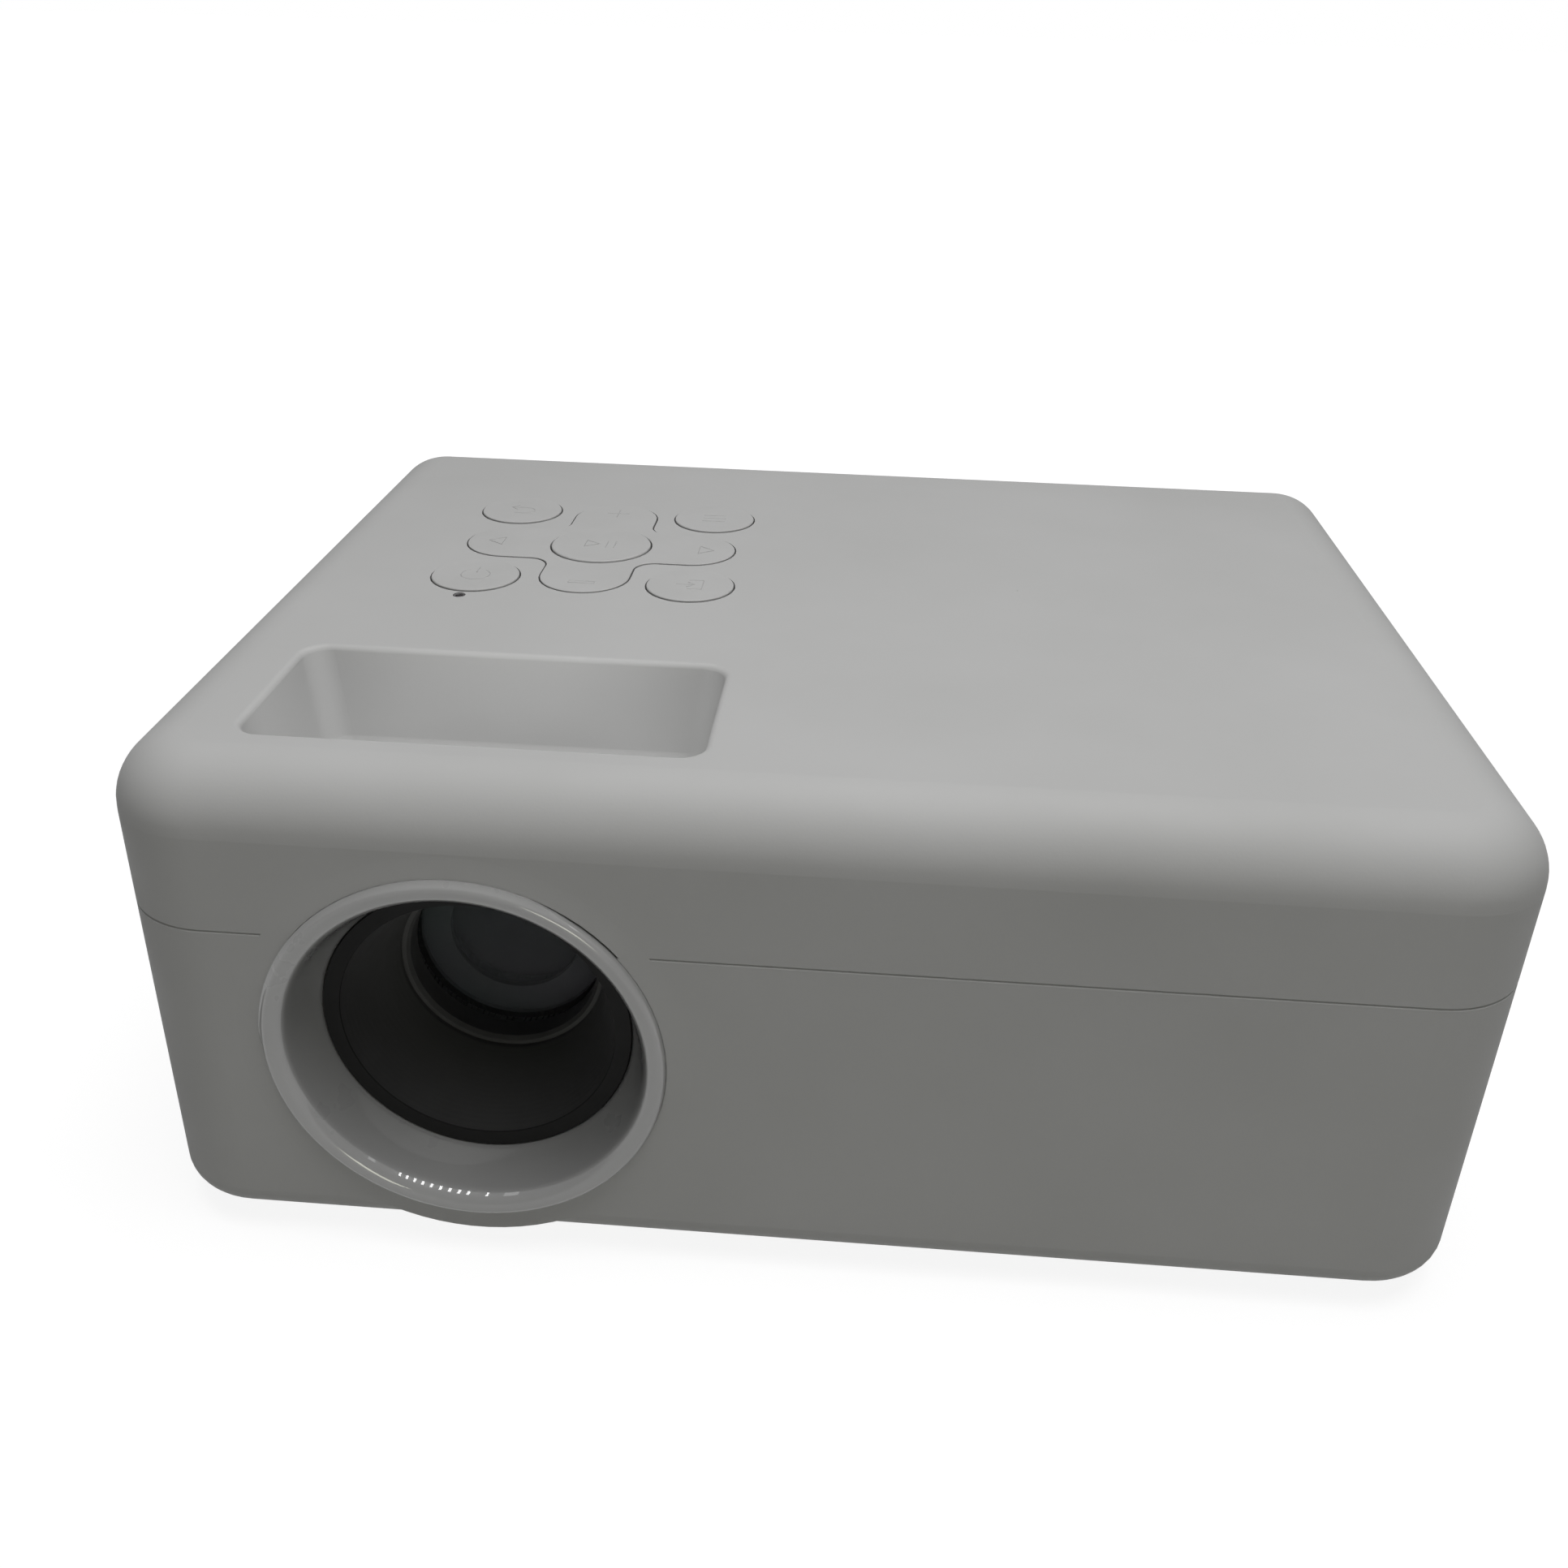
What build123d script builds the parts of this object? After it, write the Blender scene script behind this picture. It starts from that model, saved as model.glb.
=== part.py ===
"""Portable projector with a built-in disc drive, in millimetres.

+Z is up, the lens looks along -Y and the disc tray slides out along +X. The origin lies under the
middle of the projector, on the surface that its feet stand on.
"""

import os
from math import asin, cos, radians, sin, sqrt, tan

from build123d import *

os.makedirs("parts", exist_ok=True)

# ---- Casing ----
body_w = 260.0
body_d = 206.0
body_h = 101.0
foot_h = 5.0  # height of the rubber feet under the casing
side_r = 18.5  # upright corners at the front
rear_side_r = 14.0
top_r = 13.0  # rounding round the top
bottom_r = 6.0  # rounding round the bottom
wall = 2.5
seam_h = 68.5  # height of the lower shell
seam_bevel = 0.3
cut = 0.1  # how far a cut starts before a face and runs past it
lip_t = 1.5  # tongue of the lower shell that locates the upper one
lip_h = 2.5
lip_gap = 0.1
crest = 2.0  # how far the lens bezel stands out of the front

# ---- Screws, bosses and posts ----
screw_r = 1.5
screw_head_r = 2.8
screw_head_h = 2.0
screw_len = 20.0
screw_gap = 0.2
boss_r = 4.3
boss_inset = 14.5  # corner screws, measured from the inside of the walls
mid_screw_x = -10.0
mid_screw_inset = 6.8
screw_bite = 6.5  # how far a screw reaches past the seam into the upper shell
pilot_extra = 2.0  # pilot hole beyond the tip of a screw
cross_w = 3.2  # cross in the head of a screw
cross_t = 0.8
cross_depth = 1.2
post_r = 3.5

# ---- Lens opening ----
lens_x = -64.0
lens_h = 44.0  # lens axis above the bottom of the casing
crest_r = 38.6  # outside of the bezel
mouth_r = 35.0  # inner edge of the bezel's lip
throat_r = 30.6  # narrow end of the bezel's funnel
funnel_depth = 9.8  # from the front face to the funnel's narrow end
throat_len = 1.8
bezel_wall = 2.2
lip_round = 0.6
funnel_bow_y = 1.2  # how far the funnel bows in from a straight cone
funnel_bow_r = 0.6
flange_grow = 2.4  # how far the bezel's flange reaches behind the shell
flange_t = 2.0
collar_r = 43.5  # where the flare of the shells meets the flat front
collar_rise = 0.3
collar_share = 0.25  # share of the rise at the middle of the flare
bezel_gap_top = 0.45
bezel_gap_bottom = 0.1

# ---- Lens ----
barrel_r = 30.3
hood_mouth_r = 27.2
hood_end_r = 21.1
hood_len = 20.0
barrel_len = 54.0
barrel_room = 2.5  # behind the barrel, for its travel
barrel_wall = 1.8
slide_gap = 0.08  # running clearance of the barrel in its sleeve
sleeve_wall = 2.2
sleeve_flange_r = 37.0
sleeve_flange_t = 3.0
retainer_r = 19.6  # opening of the ring that holds the front glass
retainer_len = 6.0
retainer_seat = 1.0  # between the hood and the ring
retainer_bevel = 0.6
retainer_bevel_len = 1.0
front_glass_edge = 5.0
front_glass_bulge = 4.0
front_glass_back = 1.0
glass_spacing = 3.0  # between the front and the middle glass
front_glass_room = 1.5  # behind the front glass, for its curved back
glass_rim = 2.0  # flat rim that an inner glass is held by
middle_glass_r = 15.6
middle_glass_edge = 6.0
middle_glass_dish = 1.6
rear_glass_r = 24.0
rear_glass_edge = 4.0
rear_glass_bulge = 3.0
rear_glass_back = 1.5
rear_glass_inset = 2.0
ring_gap = 0.1
ring_r = 36.6  # focus ring between its ribs
ring_rib_r = 37.5
ring_w = 24.0
ring_ribs = 60
ring_rib_w = 1.6

# ---- Finger well over the focus ring ----
well_w = 87.2
well_d = 41.0
well_r = 5.0
well_draft = 10.0
well_floor_h = 35.0  # floor of the well above the lens axis
well_floor_r = 4.0
well_rim_r = 1.3
well_wall = 2.2
well_rear_gap = 58.5  # from the casing's front face to the well's rear edge
ring_slot_gap = 0.6
ring_slot_r = 2.0

# ---- Keypad ----
pad_x = -59.0
pad_back = 126.0  # centre of the keypad, from the casing's front face
key_pitch_x = 49.8
key_pitch_y = 47.6
key_r = 10.0
ok_r = 12.0
key_gap = 0.35
key_proud = 0.4
ok_proud = 0.6
dpad_proud = 0.25
key_flange = 0.8
key_flange_t = 1.0
key_stem_r = 2.6
key_travel = 0.6
key_play = 0.05  # between a key and the part it rests on
key_edge = 0.3
ok_edge = 0.4
ok_lift = 0.3  # underside of the middle key above the ceiling
dpad_w = 65.2
dpad_d = 62.6
lobe_w = 20.6
lobe_fillet = 5.0
lobe_reach = 24.0  # centre of each lobe's stem
dpad_plate_t = 1.8
dpad_edge = 0.2
dpad_play = 0.2  # between a stem of the pad and its switch
seat_r = 16.0
seat_hole_r = 14.0
seat_h = 3.0
seat_lift = 0.5  # room under and over the seat for its tilt
nub_r = 1.2  # the seat rocks on these
nub_gap = 0.05
keyboard_w = 84.0
keyboard_d = 84.0
keyboard_t = 1.6
keyboard_drop = 5.9  # from the ceiling of the upper shell to the board
keyboard_shift = 2.0  # board ahead of the middle of the keypad
keyboard_post_r = 3.0
keyboard_post_inset = 4.0
keyboard_corner_r = 3.0
switch_size = 6.0
switch_h = 1.7
switch_corner_r = 0.6
plunger_h = 0.5
light_r = 1.0
light_recess = 0.3
light_x = -84.5
light_back = 89.9  # indicator, from the casing's front face

# ---- Optical engine ----
engine_w = 96.0
engine_h = 72.0
engine_wall = 2.0
engine_post_inset = 8.0
chamber_len = 58.0
exit_r = 26.0
fresnel_t = 2.0
fresnel_back = 6.0
fresnel_gap = 2.0  # from the frame to the rear plate
panel_w = 88.0
panel_h = 50.0
panel_t = 1.6
panel_lap = 2.0
frame_t = 6.0
sink_len = 23.2  # from the lamp's board to the fan
tunnel_straight = 8.0
tunnel_end_w = 44.0
condenser_r = 20.0
condenser_rim = 2.0
condenser_bulge = 7.0
led_window_r = 17.0
led_board_t = 2.0
led_r = 12.0
led_gap = 0.3
sink_w = 60.0
sink_base = 4.0
sink_fins = 10
fin_t = 1.4
fan_size = 60.0
fan_t = 10.0
fan_bore_r = 28.5
rotor_tip_gap = 0.8
rotor_hub_r = 13.0
rotor_gap = 0.6
fan_blades = 7
fan_drop = 8.5  # how far the fan's axis lies below the lens axis
fan_corner_r = 3.0
fan_pin_r = 2.0
fan_pin_len = 3.0
fan_pin_gap = 0.05
fan_pin_end_gap = 0.3
blade_t = 1.4
blade_pitch = 20.0
blade_inset = 1.0
spider_t = 1.5
spider_arm = 3.0

# ---- Disc drive ----
drive_z = 31.0
drive_case_w = 128.0
case_gap = 0.4  # between the case and the tray's bezel
drive_h = 13.6
sheet = 0.8
slot_side = 1.0  # slot beyond the case at each side
slot_h = 15.0
slot_r = 1.2
tray_gap = 0.4  # tray bezel in its slot
tray_bezel_t = 3.2
tray_bezel_inset = 0.6
tray_bezel_edge = 0.5
tray_t = 7.0
tray_lift = 1.8  # underside of the tray above the drive's pan
tray_clear = 1.6  # rear edge of the tray to the rear of the drive
disc_side = 2.0  # tray beside the disc
disc_end = 1.0  # tray before and behind the disc
disc_gap = 0.3
recess_d = 3.0
inner_recess_r = 41.0
inner_recess_d = 0.6
window_back = 15.0
window_end = 4.0  # from the front end of the window to the edge of the disc
window_low = 18.0
window_high = 22.0
rail_t = 0.8
rail_h = 5.0
rail_gap = 0.2
rail_lift = 1.0
rail_short = 10.0  # how much shorter than the case
rod_r = 1.0
rod_half_gap = 13.0
rod_gap = 0.05
rod_bite = 2.5
mech_lift = 2.3  # rods and lead screw above the tray's underside
sled_len = 14.0
sled_t = 3.8
sled_side = 2.5
sled_corner_r = 1.5
nut_w = 4.0  # arm of the sled on the lead screw
nut_gap = 0.3
nut_root = 2.0
pickup_lens_r = 3.0
pickup_lens_h = 0.5
hub_r = 14.0
hub_t = 1.3
hub_nose_r = 7.4
hub_nose_h = 2.1
hub_gap = 0.5
hub_edge = 0.8
hub_lift = 0.2
hub_shaft_r = 1.0
motor_r = 11.0
motor_t = 2.6
motor_plate_t = 0.8
motor_plate_w = 11.0
motor_plate_shift = 5.1  # clears the sled's motor on one side and the sled on the other
screw_drive_r = 1.2
screw_motor_r = 2.2
screw_motor_len = 14.0
screw_side_gap = 0.3
screw_end_gap = 0.3
screw_pin_r = 0.6
screw_pin_len = 5.0
screw_pin_in = 3.5
screw_pin_bore = 4.0
eject_w = 8.0
eject_h = 3.0
eject_gap = 0.3
eject_flange = 1.0
eject_flange_t = 0.8
eject_travel = 0.5
eject_inset = 22.0  # from the side of the case
eject_room = 0.2
eject_back = 0.15
eject_proud = 0.3
eject_corner_r = 0.7
eject_hole_r = 1.0
eject_edge = 0.25
drive_board_x = 24.0
drive_board_w = 40.0
drive_board_side = 10.0
drive_board_t = 1.0
drive_post_x = 12.0
drive_post_y = 8.0

# ---- Boards, sockets and speakers ----
board_t = 1.6
main_board_z = 50.0
main_board_w = 98.0
main_board_d = 109.0
board_left = 8.0
board_corner_r = 2.0
board_post_x = 5.0
board_post_y = 12.0
board_ahead = 1.5  # from the rear wall to the rear edge of the board
standoff_x = 14.0
standoff_y = 13.0
standoff_r = 3.0
power_board_z = 12.0
power_board_w = 84.0
power_board_d = 88.0
power_post_inset = 6.0
processor_w = 22.0
processor_back = 76.0  # from the rear edge of the main board
memory_x = 24.0
memory_gap = 6.0  # memory chips beside the middle of the processor
memory_w = 10.0
memory_d = 8.0
chip_t = 2.0
can_x = 34.0  # capacitors
can_pitch = 14.0
can_r = 4.0
can_h = 10.0
choke_x = 16.0
choke_back = 38.0
choke_w = 14.0
choke_h = 5.0
transformer_w = 26.0
transformer_d = 22.0
transformer_h = 14.0
filter_x = 26.0
filter_w = 14.0
filter_d = 12.0
bulk_can_x = 24.0
bulk_can_y = 12.0
bulk_can_r = 6.0
bulk_can_h = 13.0
out_can_y = 28.0
out_can_pitch = 12.0
out_can_r = 4.0
panel_x = 60.0  # centre of the socket panel
panel_wide = 80.0
panel_high = 13.0
panel_corner_r = 1.5
panel_flange_t = 1.5
panel_slit_d = 1.0  # slit that the edge of the main board sits in
panel_slit_over = 1.0
panel_flange = 2.0
panel_inset = 0.5
socket_gap = 0.2
hdmi_x = 86.0
hdmi_w = 15.0
hdmi_h = 5.6
usb_x = 64.0
usb_w = 13.2
usb_h = 5.8
socket_len = 14.0
socket_wall = 0.5
socket_bottom = 2.0
hdmi_corner_r = 0.6
hdmi_tongue_t = 1.0
hdmi_tongue_side = 2.0
usb_corner_r = 0.4
usb_tongue_t = 1.6
usb_tongue_side = 1.0
usb_tongue_drop = 0.3
tongue_short = 3.0
jack_xs = (34.0, 46.0)
jack_r = 3.0
jack_bore_r = 1.8
jack_body = 7.0
jack_bore_len = 12.0
jack_lift = 0.2
jack_nose = 1.5
ir_x = 74.8
ir_w = 4.0
inlet_x = 70.0
inlet_z = 21.0
inlet_w = 24.0
inlet_h = 14.0
inlet_hole_w = 16.4
inlet_hole_h = 9.0
inlet_len = 16.0
inlet_depth = 12.0
inlet_corner_r = 2.0
inlet_flange_side = 2.0
inlet_flange_high = 1.0
inlet_flange_t = 2.0
inlet_body_w = 20.4
inlet_body_h = 12.0
pin_r = 1.2
pin_pitch = 8.6
pin_len = 9.0
pin_tail = 4.0
speaker_w = 44.0
speaker_h = 18.0
speaker_t = 11.0
speaker_z = 60.0
speaker_inset = 50.0  # from the front and the rear of the casing
cone_w = 34.0
cone_h = 12.0
cone_depth = 2.0
speaker_rim = 3.0
speaker_rim_r = 2.0
speaker_can_side = 4.0
speaker_can_high = 2.0
speaker_can_r = 3.0

# ---- Grilles ----
slot_width = 2.2
slot_pitch = 5.0
intake_count = 22
intake_len = 30.0
intake_z = 40.0
exhaust_count = 11
exhaust_len = 46.0
speaker_slots = 7
speaker_slot_len = 12.0

# ---- Underside ----
foot_r = 8.0
foot_inset_x = 32.0
foot_inset_y = 28.0
foot_socket = 1.0
foot_edge = 0.8
tripod_r = 3.175  # quarter-inch camera thread
tripod_depth = 10.0
insert_r = 5.0
insert_boss_r = 8.0
level_x = -6.0
level_inset = 24.0  # from the front of the casing
level_r = 4.0
level_boss_r = 7.5
level_boss_h = 24.0
level_gap = 0.08
level_short = 2.0  # stud's end below the top of its boss
wheel_r = 11.0
wheel_t = 3.0
wheel_notches = 24
wheel_notch_r = 0.7
wheel_neck_r = 6.0
wheel_neck_h = 2.0
wheel_gap = 0.1
pad_r = 7.0
pad_t = 1.0
floor_gap = 0.3

# ---- Places worked out from the sizes above ----
body_y = crest / 2
front_y = body_y - body_d / 2
rear_y = body_y + body_d / 2
side_x = body_w / 2
seam_z = foot_h + seam_h
top_z = foot_h + body_h
floor_z = foot_h + wall
ceiling_z = top_z - wall
inner_front_y = front_y + wall
inner_rear_y = rear_y - wall
lens_z = foot_h + lens_h
lens_axis = Axis((lens_x, 0, lens_z), (0, 1, 0))
lens_section = Plane(origin=(lens_x, 0, lens_z), x_dir=(0, 1, 0), z_dir=(1, 0, 0))
throat_y = front_y + funnel_depth
sleeve_front_y = throat_y + throat_len
barrel_y = throat_y
barrel_end_y = barrel_y + barrel_len
chamber_y = barrel_end_y + barrel_room
chamber_end_y = chamber_y + chamber_len
tunnel_y = chamber_end_y + frame_t
fan_z = lens_z - fan_drop
fan_y = inner_rear_y - fan_t
sink_y = fan_y - sink_len
tunnel_end_y = sink_y - led_board_t
tunnel_len = tunnel_end_y - tunnel_y
well_x = lens_x
well_depth = top_z - lens_z - well_floor_h
well_y = front_y + well_rear_gap - well_d / 2
ring_y = well_y
well_under = top_z - well_depth - well_wall - lens_z  # underside of the well above the lens axis
ring_slot_w = 2 * sqrt((ring_rib_r + ring_slot_gap) ** 2 - well_under**2)
ring_slot_d = ring_w + 2 * ring_slot_gap
pad_y = front_y + pad_back
light_y = front_y + light_back
drive_y = body_y
slot_w = drive_case_w + 2 * slot_side
tray_w = drive_case_w - 2 * (sheet + 2 * rail_gap + rail_t)
disc_r = tray_w / 2 - disc_side
tray_len = 2 * (disc_r + disc_end)
drive_case_len = tray_len - case_gap + tray_clear + sheet
window_ahead = disc_r - window_end
bezel_x = side_x - tray_bezel_inset - tray_bezel_t
drive_x = bezel_x - case_gap - drive_case_len
case_floor_z = drive_z + sheet
case_roof_z = drive_z + drive_h - sheet
tray_x = drive_x + sheet + tray_clear
tray_z = case_floor_z + tray_lift
tray_top_z = tray_z + tray_t
hub_x = (tray_x + bezel_x) / 2
recess_z = tray_top_z - recess_d
mech_z = tray_z + mech_lift
slot_z = drive_z + drive_h / 2
level_y = front_y + level_inset
speaker_ys = (front_y + speaker_inset, rear_y - speaker_inset)
corner_x = side_x - wall - boss_inset
corner_front_y = inner_front_y + boss_inset
corner_rear_y = inner_rear_y - boss_inset
screw_points = [
    (-corner_x, corner_front_y),
    (corner_x, corner_front_y),
    (-corner_x, corner_rear_y),
    (corner_x, corner_rear_y),
    (mid_screw_x, inner_front_y + mid_screw_inset),
    (mid_screw_x, inner_rear_y - mid_screw_inset),
]
screw_seat_z = seam_z + screw_bite - screw_len
foot_points = [
    (sx * (side_x - foot_inset_x), body_y + sy * (body_d / 2 - foot_inset_y))
    for sx in (-1, 1)
    for sy in (-1, 1)
]
drive_posts = [
    (drive_x + dx, drive_y + dy)
    for dx in (drive_post_x, drive_case_len - drive_post_x)
    for dy in (-drive_case_w / 2 + drive_post_y, drive_case_w / 2 - drive_post_y)
]
main_board_x = board_left + main_board_w / 2
main_board_rear_y = inner_rear_y - board_ahead
main_board_front_y = main_board_rear_y - main_board_d
board_posts = [
    (board_left + board_post_x, inner_rear_y - board_post_y),
    (board_left + main_board_w - board_post_x, inner_rear_y - board_post_y),
]
standoff_points = [
    (board_left + standoff_x, main_board_front_y + standoff_y),
    (board_left + main_board_w - standoff_x, main_board_front_y + standoff_y),
]
engine_posts = [
    (lens_x + sx * (engine_w / 2 - engine_post_inset), y)
    for sx in (-1, 1)
    for y in (chamber_y + engine_post_inset, chamber_end_y - engine_post_inset)
]
keyboard_y = pad_y - keyboard_shift
keyboard_z = ceiling_z - keyboard_drop - keyboard_t
keyboard_post_x = keyboard_w / 2 - keyboard_post_inset
keyboard_post_y = keyboard_d / 2 - keyboard_post_inset
keyboard_posts = [
    (pad_x + sx * keyboard_post_x, keyboard_y + sy * keyboard_post_y)
    for sx in (-1, 1)
    for sy in (-1, 1)
]
key_points = {
    "power_key": (pad_x - key_pitch_x / 2, pad_y - key_pitch_y / 2),
    "source_key": (pad_x + key_pitch_x / 2, pad_y - key_pitch_y / 2),
    "back_key": (pad_x - key_pitch_x / 2, pad_y + key_pitch_y / 2),
    "menu_key": (pad_x + key_pitch_x / 2, pad_y + key_pitch_y / 2),
}
lobe_points = [
    (pad_x + lobe_reach, pad_y),
    (pad_x - lobe_reach, pad_y),
    (pad_x, pad_y + lobe_reach),
    (pad_x, pad_y - lobe_reach),
]


def save(part, name):
    """Label a finished piece and write it to its own file."""
    part.label = name
    export_step(part, f"parts/{name}.step")


def collar(hole_r):
    """Flared ring on the front of a shell, round the hole for the lens bezel."""
    with BuildPart() as ring:
        with BuildSketch(lens_section):
            with BuildLine():
                Polyline(
                    (front_y - collar_rise, hole_r),
                    (inner_front_y, hole_r),
                    (inner_front_y, collar_r),
                    (front_y, collar_r),
                )
                ThreePointArc(
                    (front_y, collar_r),
                    (front_y - collar_rise * collar_share, (collar_r + hole_r) / 2),
                    (front_y - collar_rise, hole_r),
                )
            make_face()
        revolve(axis=lens_axis)
    return ring.part


def dpad_outline(grow):
    """Cross of two rounded slots, as the sketch's outline, grown all round."""
    SlotOverall(dpad_w + 2 * grow, lobe_w + 2 * grow)
    SlotOverall(dpad_d + 2 * grow, lobe_w + 2 * grow, rotation=90)


def body_outline(inset):
    """Plan of the body, drawn in by an inset, with tighter corners at the rear than at the front."""
    with BuildSketch() as outline:
        with Locations((0, body_y)):
            Rectangle(body_w - 2 * inset, body_d - 2 * inset)
        fillet(outline.vertices().group_by(Axis.Y)[0], side_r - inset)
        fillet(outline.vertices().group_by(Axis.Y)[-1], rear_side_r - inset)
    return outline.sketch


# ---- Hollow of the casing, the finger well and the bezel's seat, shared by both shells ----
with BuildPart() as hollow:
    with BuildSketch(Plane.XY.offset(floor_z)):
        add(body_outline(wall))
    extrude(amount=body_h - 2 * wall)
    fillet(hollow.faces().sort_by(Axis.Z)[-1].edges(), top_r - wall)
    fillet(hollow.faces().sort_by(Axis.Z)[0].edges(), bottom_r - wall)

well_plane = Plane(origin=(well_x, well_y, top_z), x_dir=(1, 0, 0), z_dir=(0, 0, -1))
with BuildPart() as well_space:
    with BuildSketch(well_plane):
        RectangleRounded(well_w, well_d, well_r)
    with BuildSketch(well_plane.offset(well_depth)):
        RectangleRounded(
            well_w - 2 * well_depth * tan(radians(well_draft)),
            well_d - 2 * well_depth * tan(radians(well_draft)),
            well_r,
        )
    loft()
    fillet(well_space.faces().sort_by(Axis.Z)[0].edges(), well_floor_r)

with BuildPart() as well_block:
    with BuildSketch(well_plane.offset(wall / 2)):
        RectangleRounded(well_w + 2 * well_wall, well_d + 2 * well_wall, well_r + well_wall)
    with BuildSketch(well_plane.offset(well_depth + well_wall)):
        RectangleRounded(
            well_w - 2 * well_depth * tan(radians(well_draft)) + 2 * well_wall,
            well_d - 2 * well_depth * tan(radians(well_draft)) + 2 * well_wall,
            well_r + well_wall,
        )
    loft()

with BuildPart() as lower_collar:
    add(collar(crest_r + bezel_gap_bottom))
    split(bisect_by=Plane.XY.offset(seam_z), keep=Keep.BOTTOM)

with BuildPart() as upper_collar:
    add(collar(crest_r + bezel_gap_top))
    split(bisect_by=Plane.XY.offset(seam_z), keep=Keep.TOP)

# ---- Tongue along the seam, open at the lens ----
with BuildPart() as tongue:
    with BuildSketch(Plane.XY.offset(seam_z - lip_h)) as tongue_root:
        add(body_outline(wall))
        add(body_outline(wall + lip_t), mode=Mode.SUBTRACT)
    extrude(amount=lip_h)
    with BuildSketch(Plane.XY.offset(seam_z)) as tongue_tip:
        add(body_outline(wall + lip_gap))
        add(body_outline(wall + lip_t), mode=Mode.SUBTRACT)
    extrude(amount=lip_h)
    with BuildSketch(Plane.XZ.offset(-inner_front_y - boss_inset)):
        with Locations((lens_x, lens_z)):
            Circle(collar_r + 1)
    extrude(amount=boss_inset, mode=Mode.SUBTRACT)

# ---- Lower shell: moulded tub with bosses, sockets' cut-outs, grilles and the tray's slot ----
with BuildPart() as lower_shell:
    with BuildSketch(Plane.XY.offset(foot_h)):
        add(body_outline(0))
    extrude(amount=seam_h)
    fillet(lower_shell.faces().sort_by(Axis.Z)[0].edges(), bottom_r)
    chamfer(lower_shell.faces().sort_by(Axis.Z)[-1].edges(), seam_bevel)
    add(lower_collar.part)
    add(hollow.part, mode=Mode.SUBTRACT)
    add(tongue.part)
    # Screw bosses, and posts for the drive, the boards and the optical engine.
    with BuildSketch(Plane.XY.offset(floor_z - wall / 2)):
        with Locations(*screw_points):
            Circle(boss_r)
    extrude(amount=seam_z - floor_z + wall / 2)
    with BuildSketch(Plane.XY.offset(floor_z - wall / 2)):
        with Locations(*drive_posts):
            Circle(post_r)
    extrude(amount=drive_z - floor_z + wall / 2)
    with BuildSketch(Plane.XY.offset(floor_z - wall / 2)):
        with Locations(*board_posts):
            Circle(post_r)
    extrude(amount=main_board_z - floor_z + wall / 2)
    with BuildSketch(Plane.XY.offset(floor_z - wall / 2)):
        with Locations((main_board_x, body_y)):
            with GridLocations(
                power_board_w - 2 * power_post_inset, power_board_d - 2 * power_post_inset, 2, 2
            ):
                Circle(post_r)
    extrude(amount=power_board_z - floor_z + wall / 2)
    with BuildSketch(Plane.XY.offset(floor_z - wall / 2)):
        with Locations(*engine_posts):
            Circle(post_r)
    extrude(amount=lens_z - engine_h / 2 - floor_z + wall / 2)
    # Cradle under the fan, and the boss of the levelling foot.
    with BuildSketch(Plane.XY.offset(floor_z - wall / 2)):
        with Locations((lens_x, fan_y + fan_t / 2)):
            Rectangle(fan_size, fan_t)
    extrude(amount=fan_z - fan_size / 2 - floor_z + wall / 2)
    with BuildSketch(Plane.XY.offset(floor_z - wall / 2)):
        with Locations((level_x, level_y)):
            Circle(level_boss_r)
    extrude(amount=level_boss_h)
    with BuildSketch(Plane.XY.offset(floor_z - wall / 2)):
        Circle(insert_boss_r)
    extrude(amount=tripod_depth + wall / 2)
    # Holes in the underside.
    with BuildSketch(Plane.XY.offset(foot_h)):
        with Locations(*screw_points):
            Circle(screw_head_r + screw_gap)
    extrude(amount=screw_seat_z - foot_h, mode=Mode.SUBTRACT)
    with BuildSketch(Plane.XY.offset(foot_h)):
        with Locations(*screw_points):
            Circle(screw_r + screw_gap)
    extrude(amount=seam_z - foot_h, mode=Mode.SUBTRACT)
    with BuildSketch(Plane.XY.offset(foot_h)):
        with Locations(*foot_points):
            Circle(foot_r)
    extrude(amount=foot_socket, mode=Mode.SUBTRACT)
    with BuildSketch(Plane.XY.offset(foot_h)):
        Circle(insert_r)
    extrude(amount=tripod_depth, mode=Mode.SUBTRACT)
    with BuildSketch(Plane.XY.offset(foot_h)):
        with Locations((level_x, level_y)):
            Circle(wheel_neck_r + wheel_gap)
    extrude(amount=wheel_neck_h + wheel_gap, mode=Mode.SUBTRACT)
    with BuildSketch(Plane.XY.offset(foot_h)):
        with Locations((level_x, level_y)):
            Circle(level_r + level_gap)
    extrude(amount=level_boss_h + wall, mode=Mode.SUBTRACT)
    # Seat of the lens bezel through the front.
    with BuildSketch(Plane.XZ.offset(-inner_front_y)):
        with Locations((lens_x, lens_z)):
            Circle(crest_r + bezel_gap_bottom)
    extrude(amount=wall + crest, mode=Mode.SUBTRACT)
    # Slot of the disc tray and grilles of the speakers, on the right.
    with BuildSketch(Plane.YZ.offset(side_x - wall - cut)):
        with Locations((drive_y, slot_z)):
            RectangleRounded(slot_w, slot_h, slot_r)
        with Locations(*[(y, speaker_z) for y in speaker_ys]):
            with GridLocations(slot_pitch, 0, speaker_slots, 1):
                SlotOverall(speaker_slot_len, slot_width, rotation=90)
    extrude(amount=wall + 2 * cut, mode=Mode.SUBTRACT)
    # Intake grille on the left.
    with BuildSketch(Plane.YZ.offset(-side_x - cut)):
        with Locations((body_y, intake_z)):
            with GridLocations(slot_pitch, 0, intake_count, 1):
                SlotOverall(intake_len, slot_width, rotation=90)
    extrude(amount=wall + 2 * cut, mode=Mode.SUBTRACT)
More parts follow.
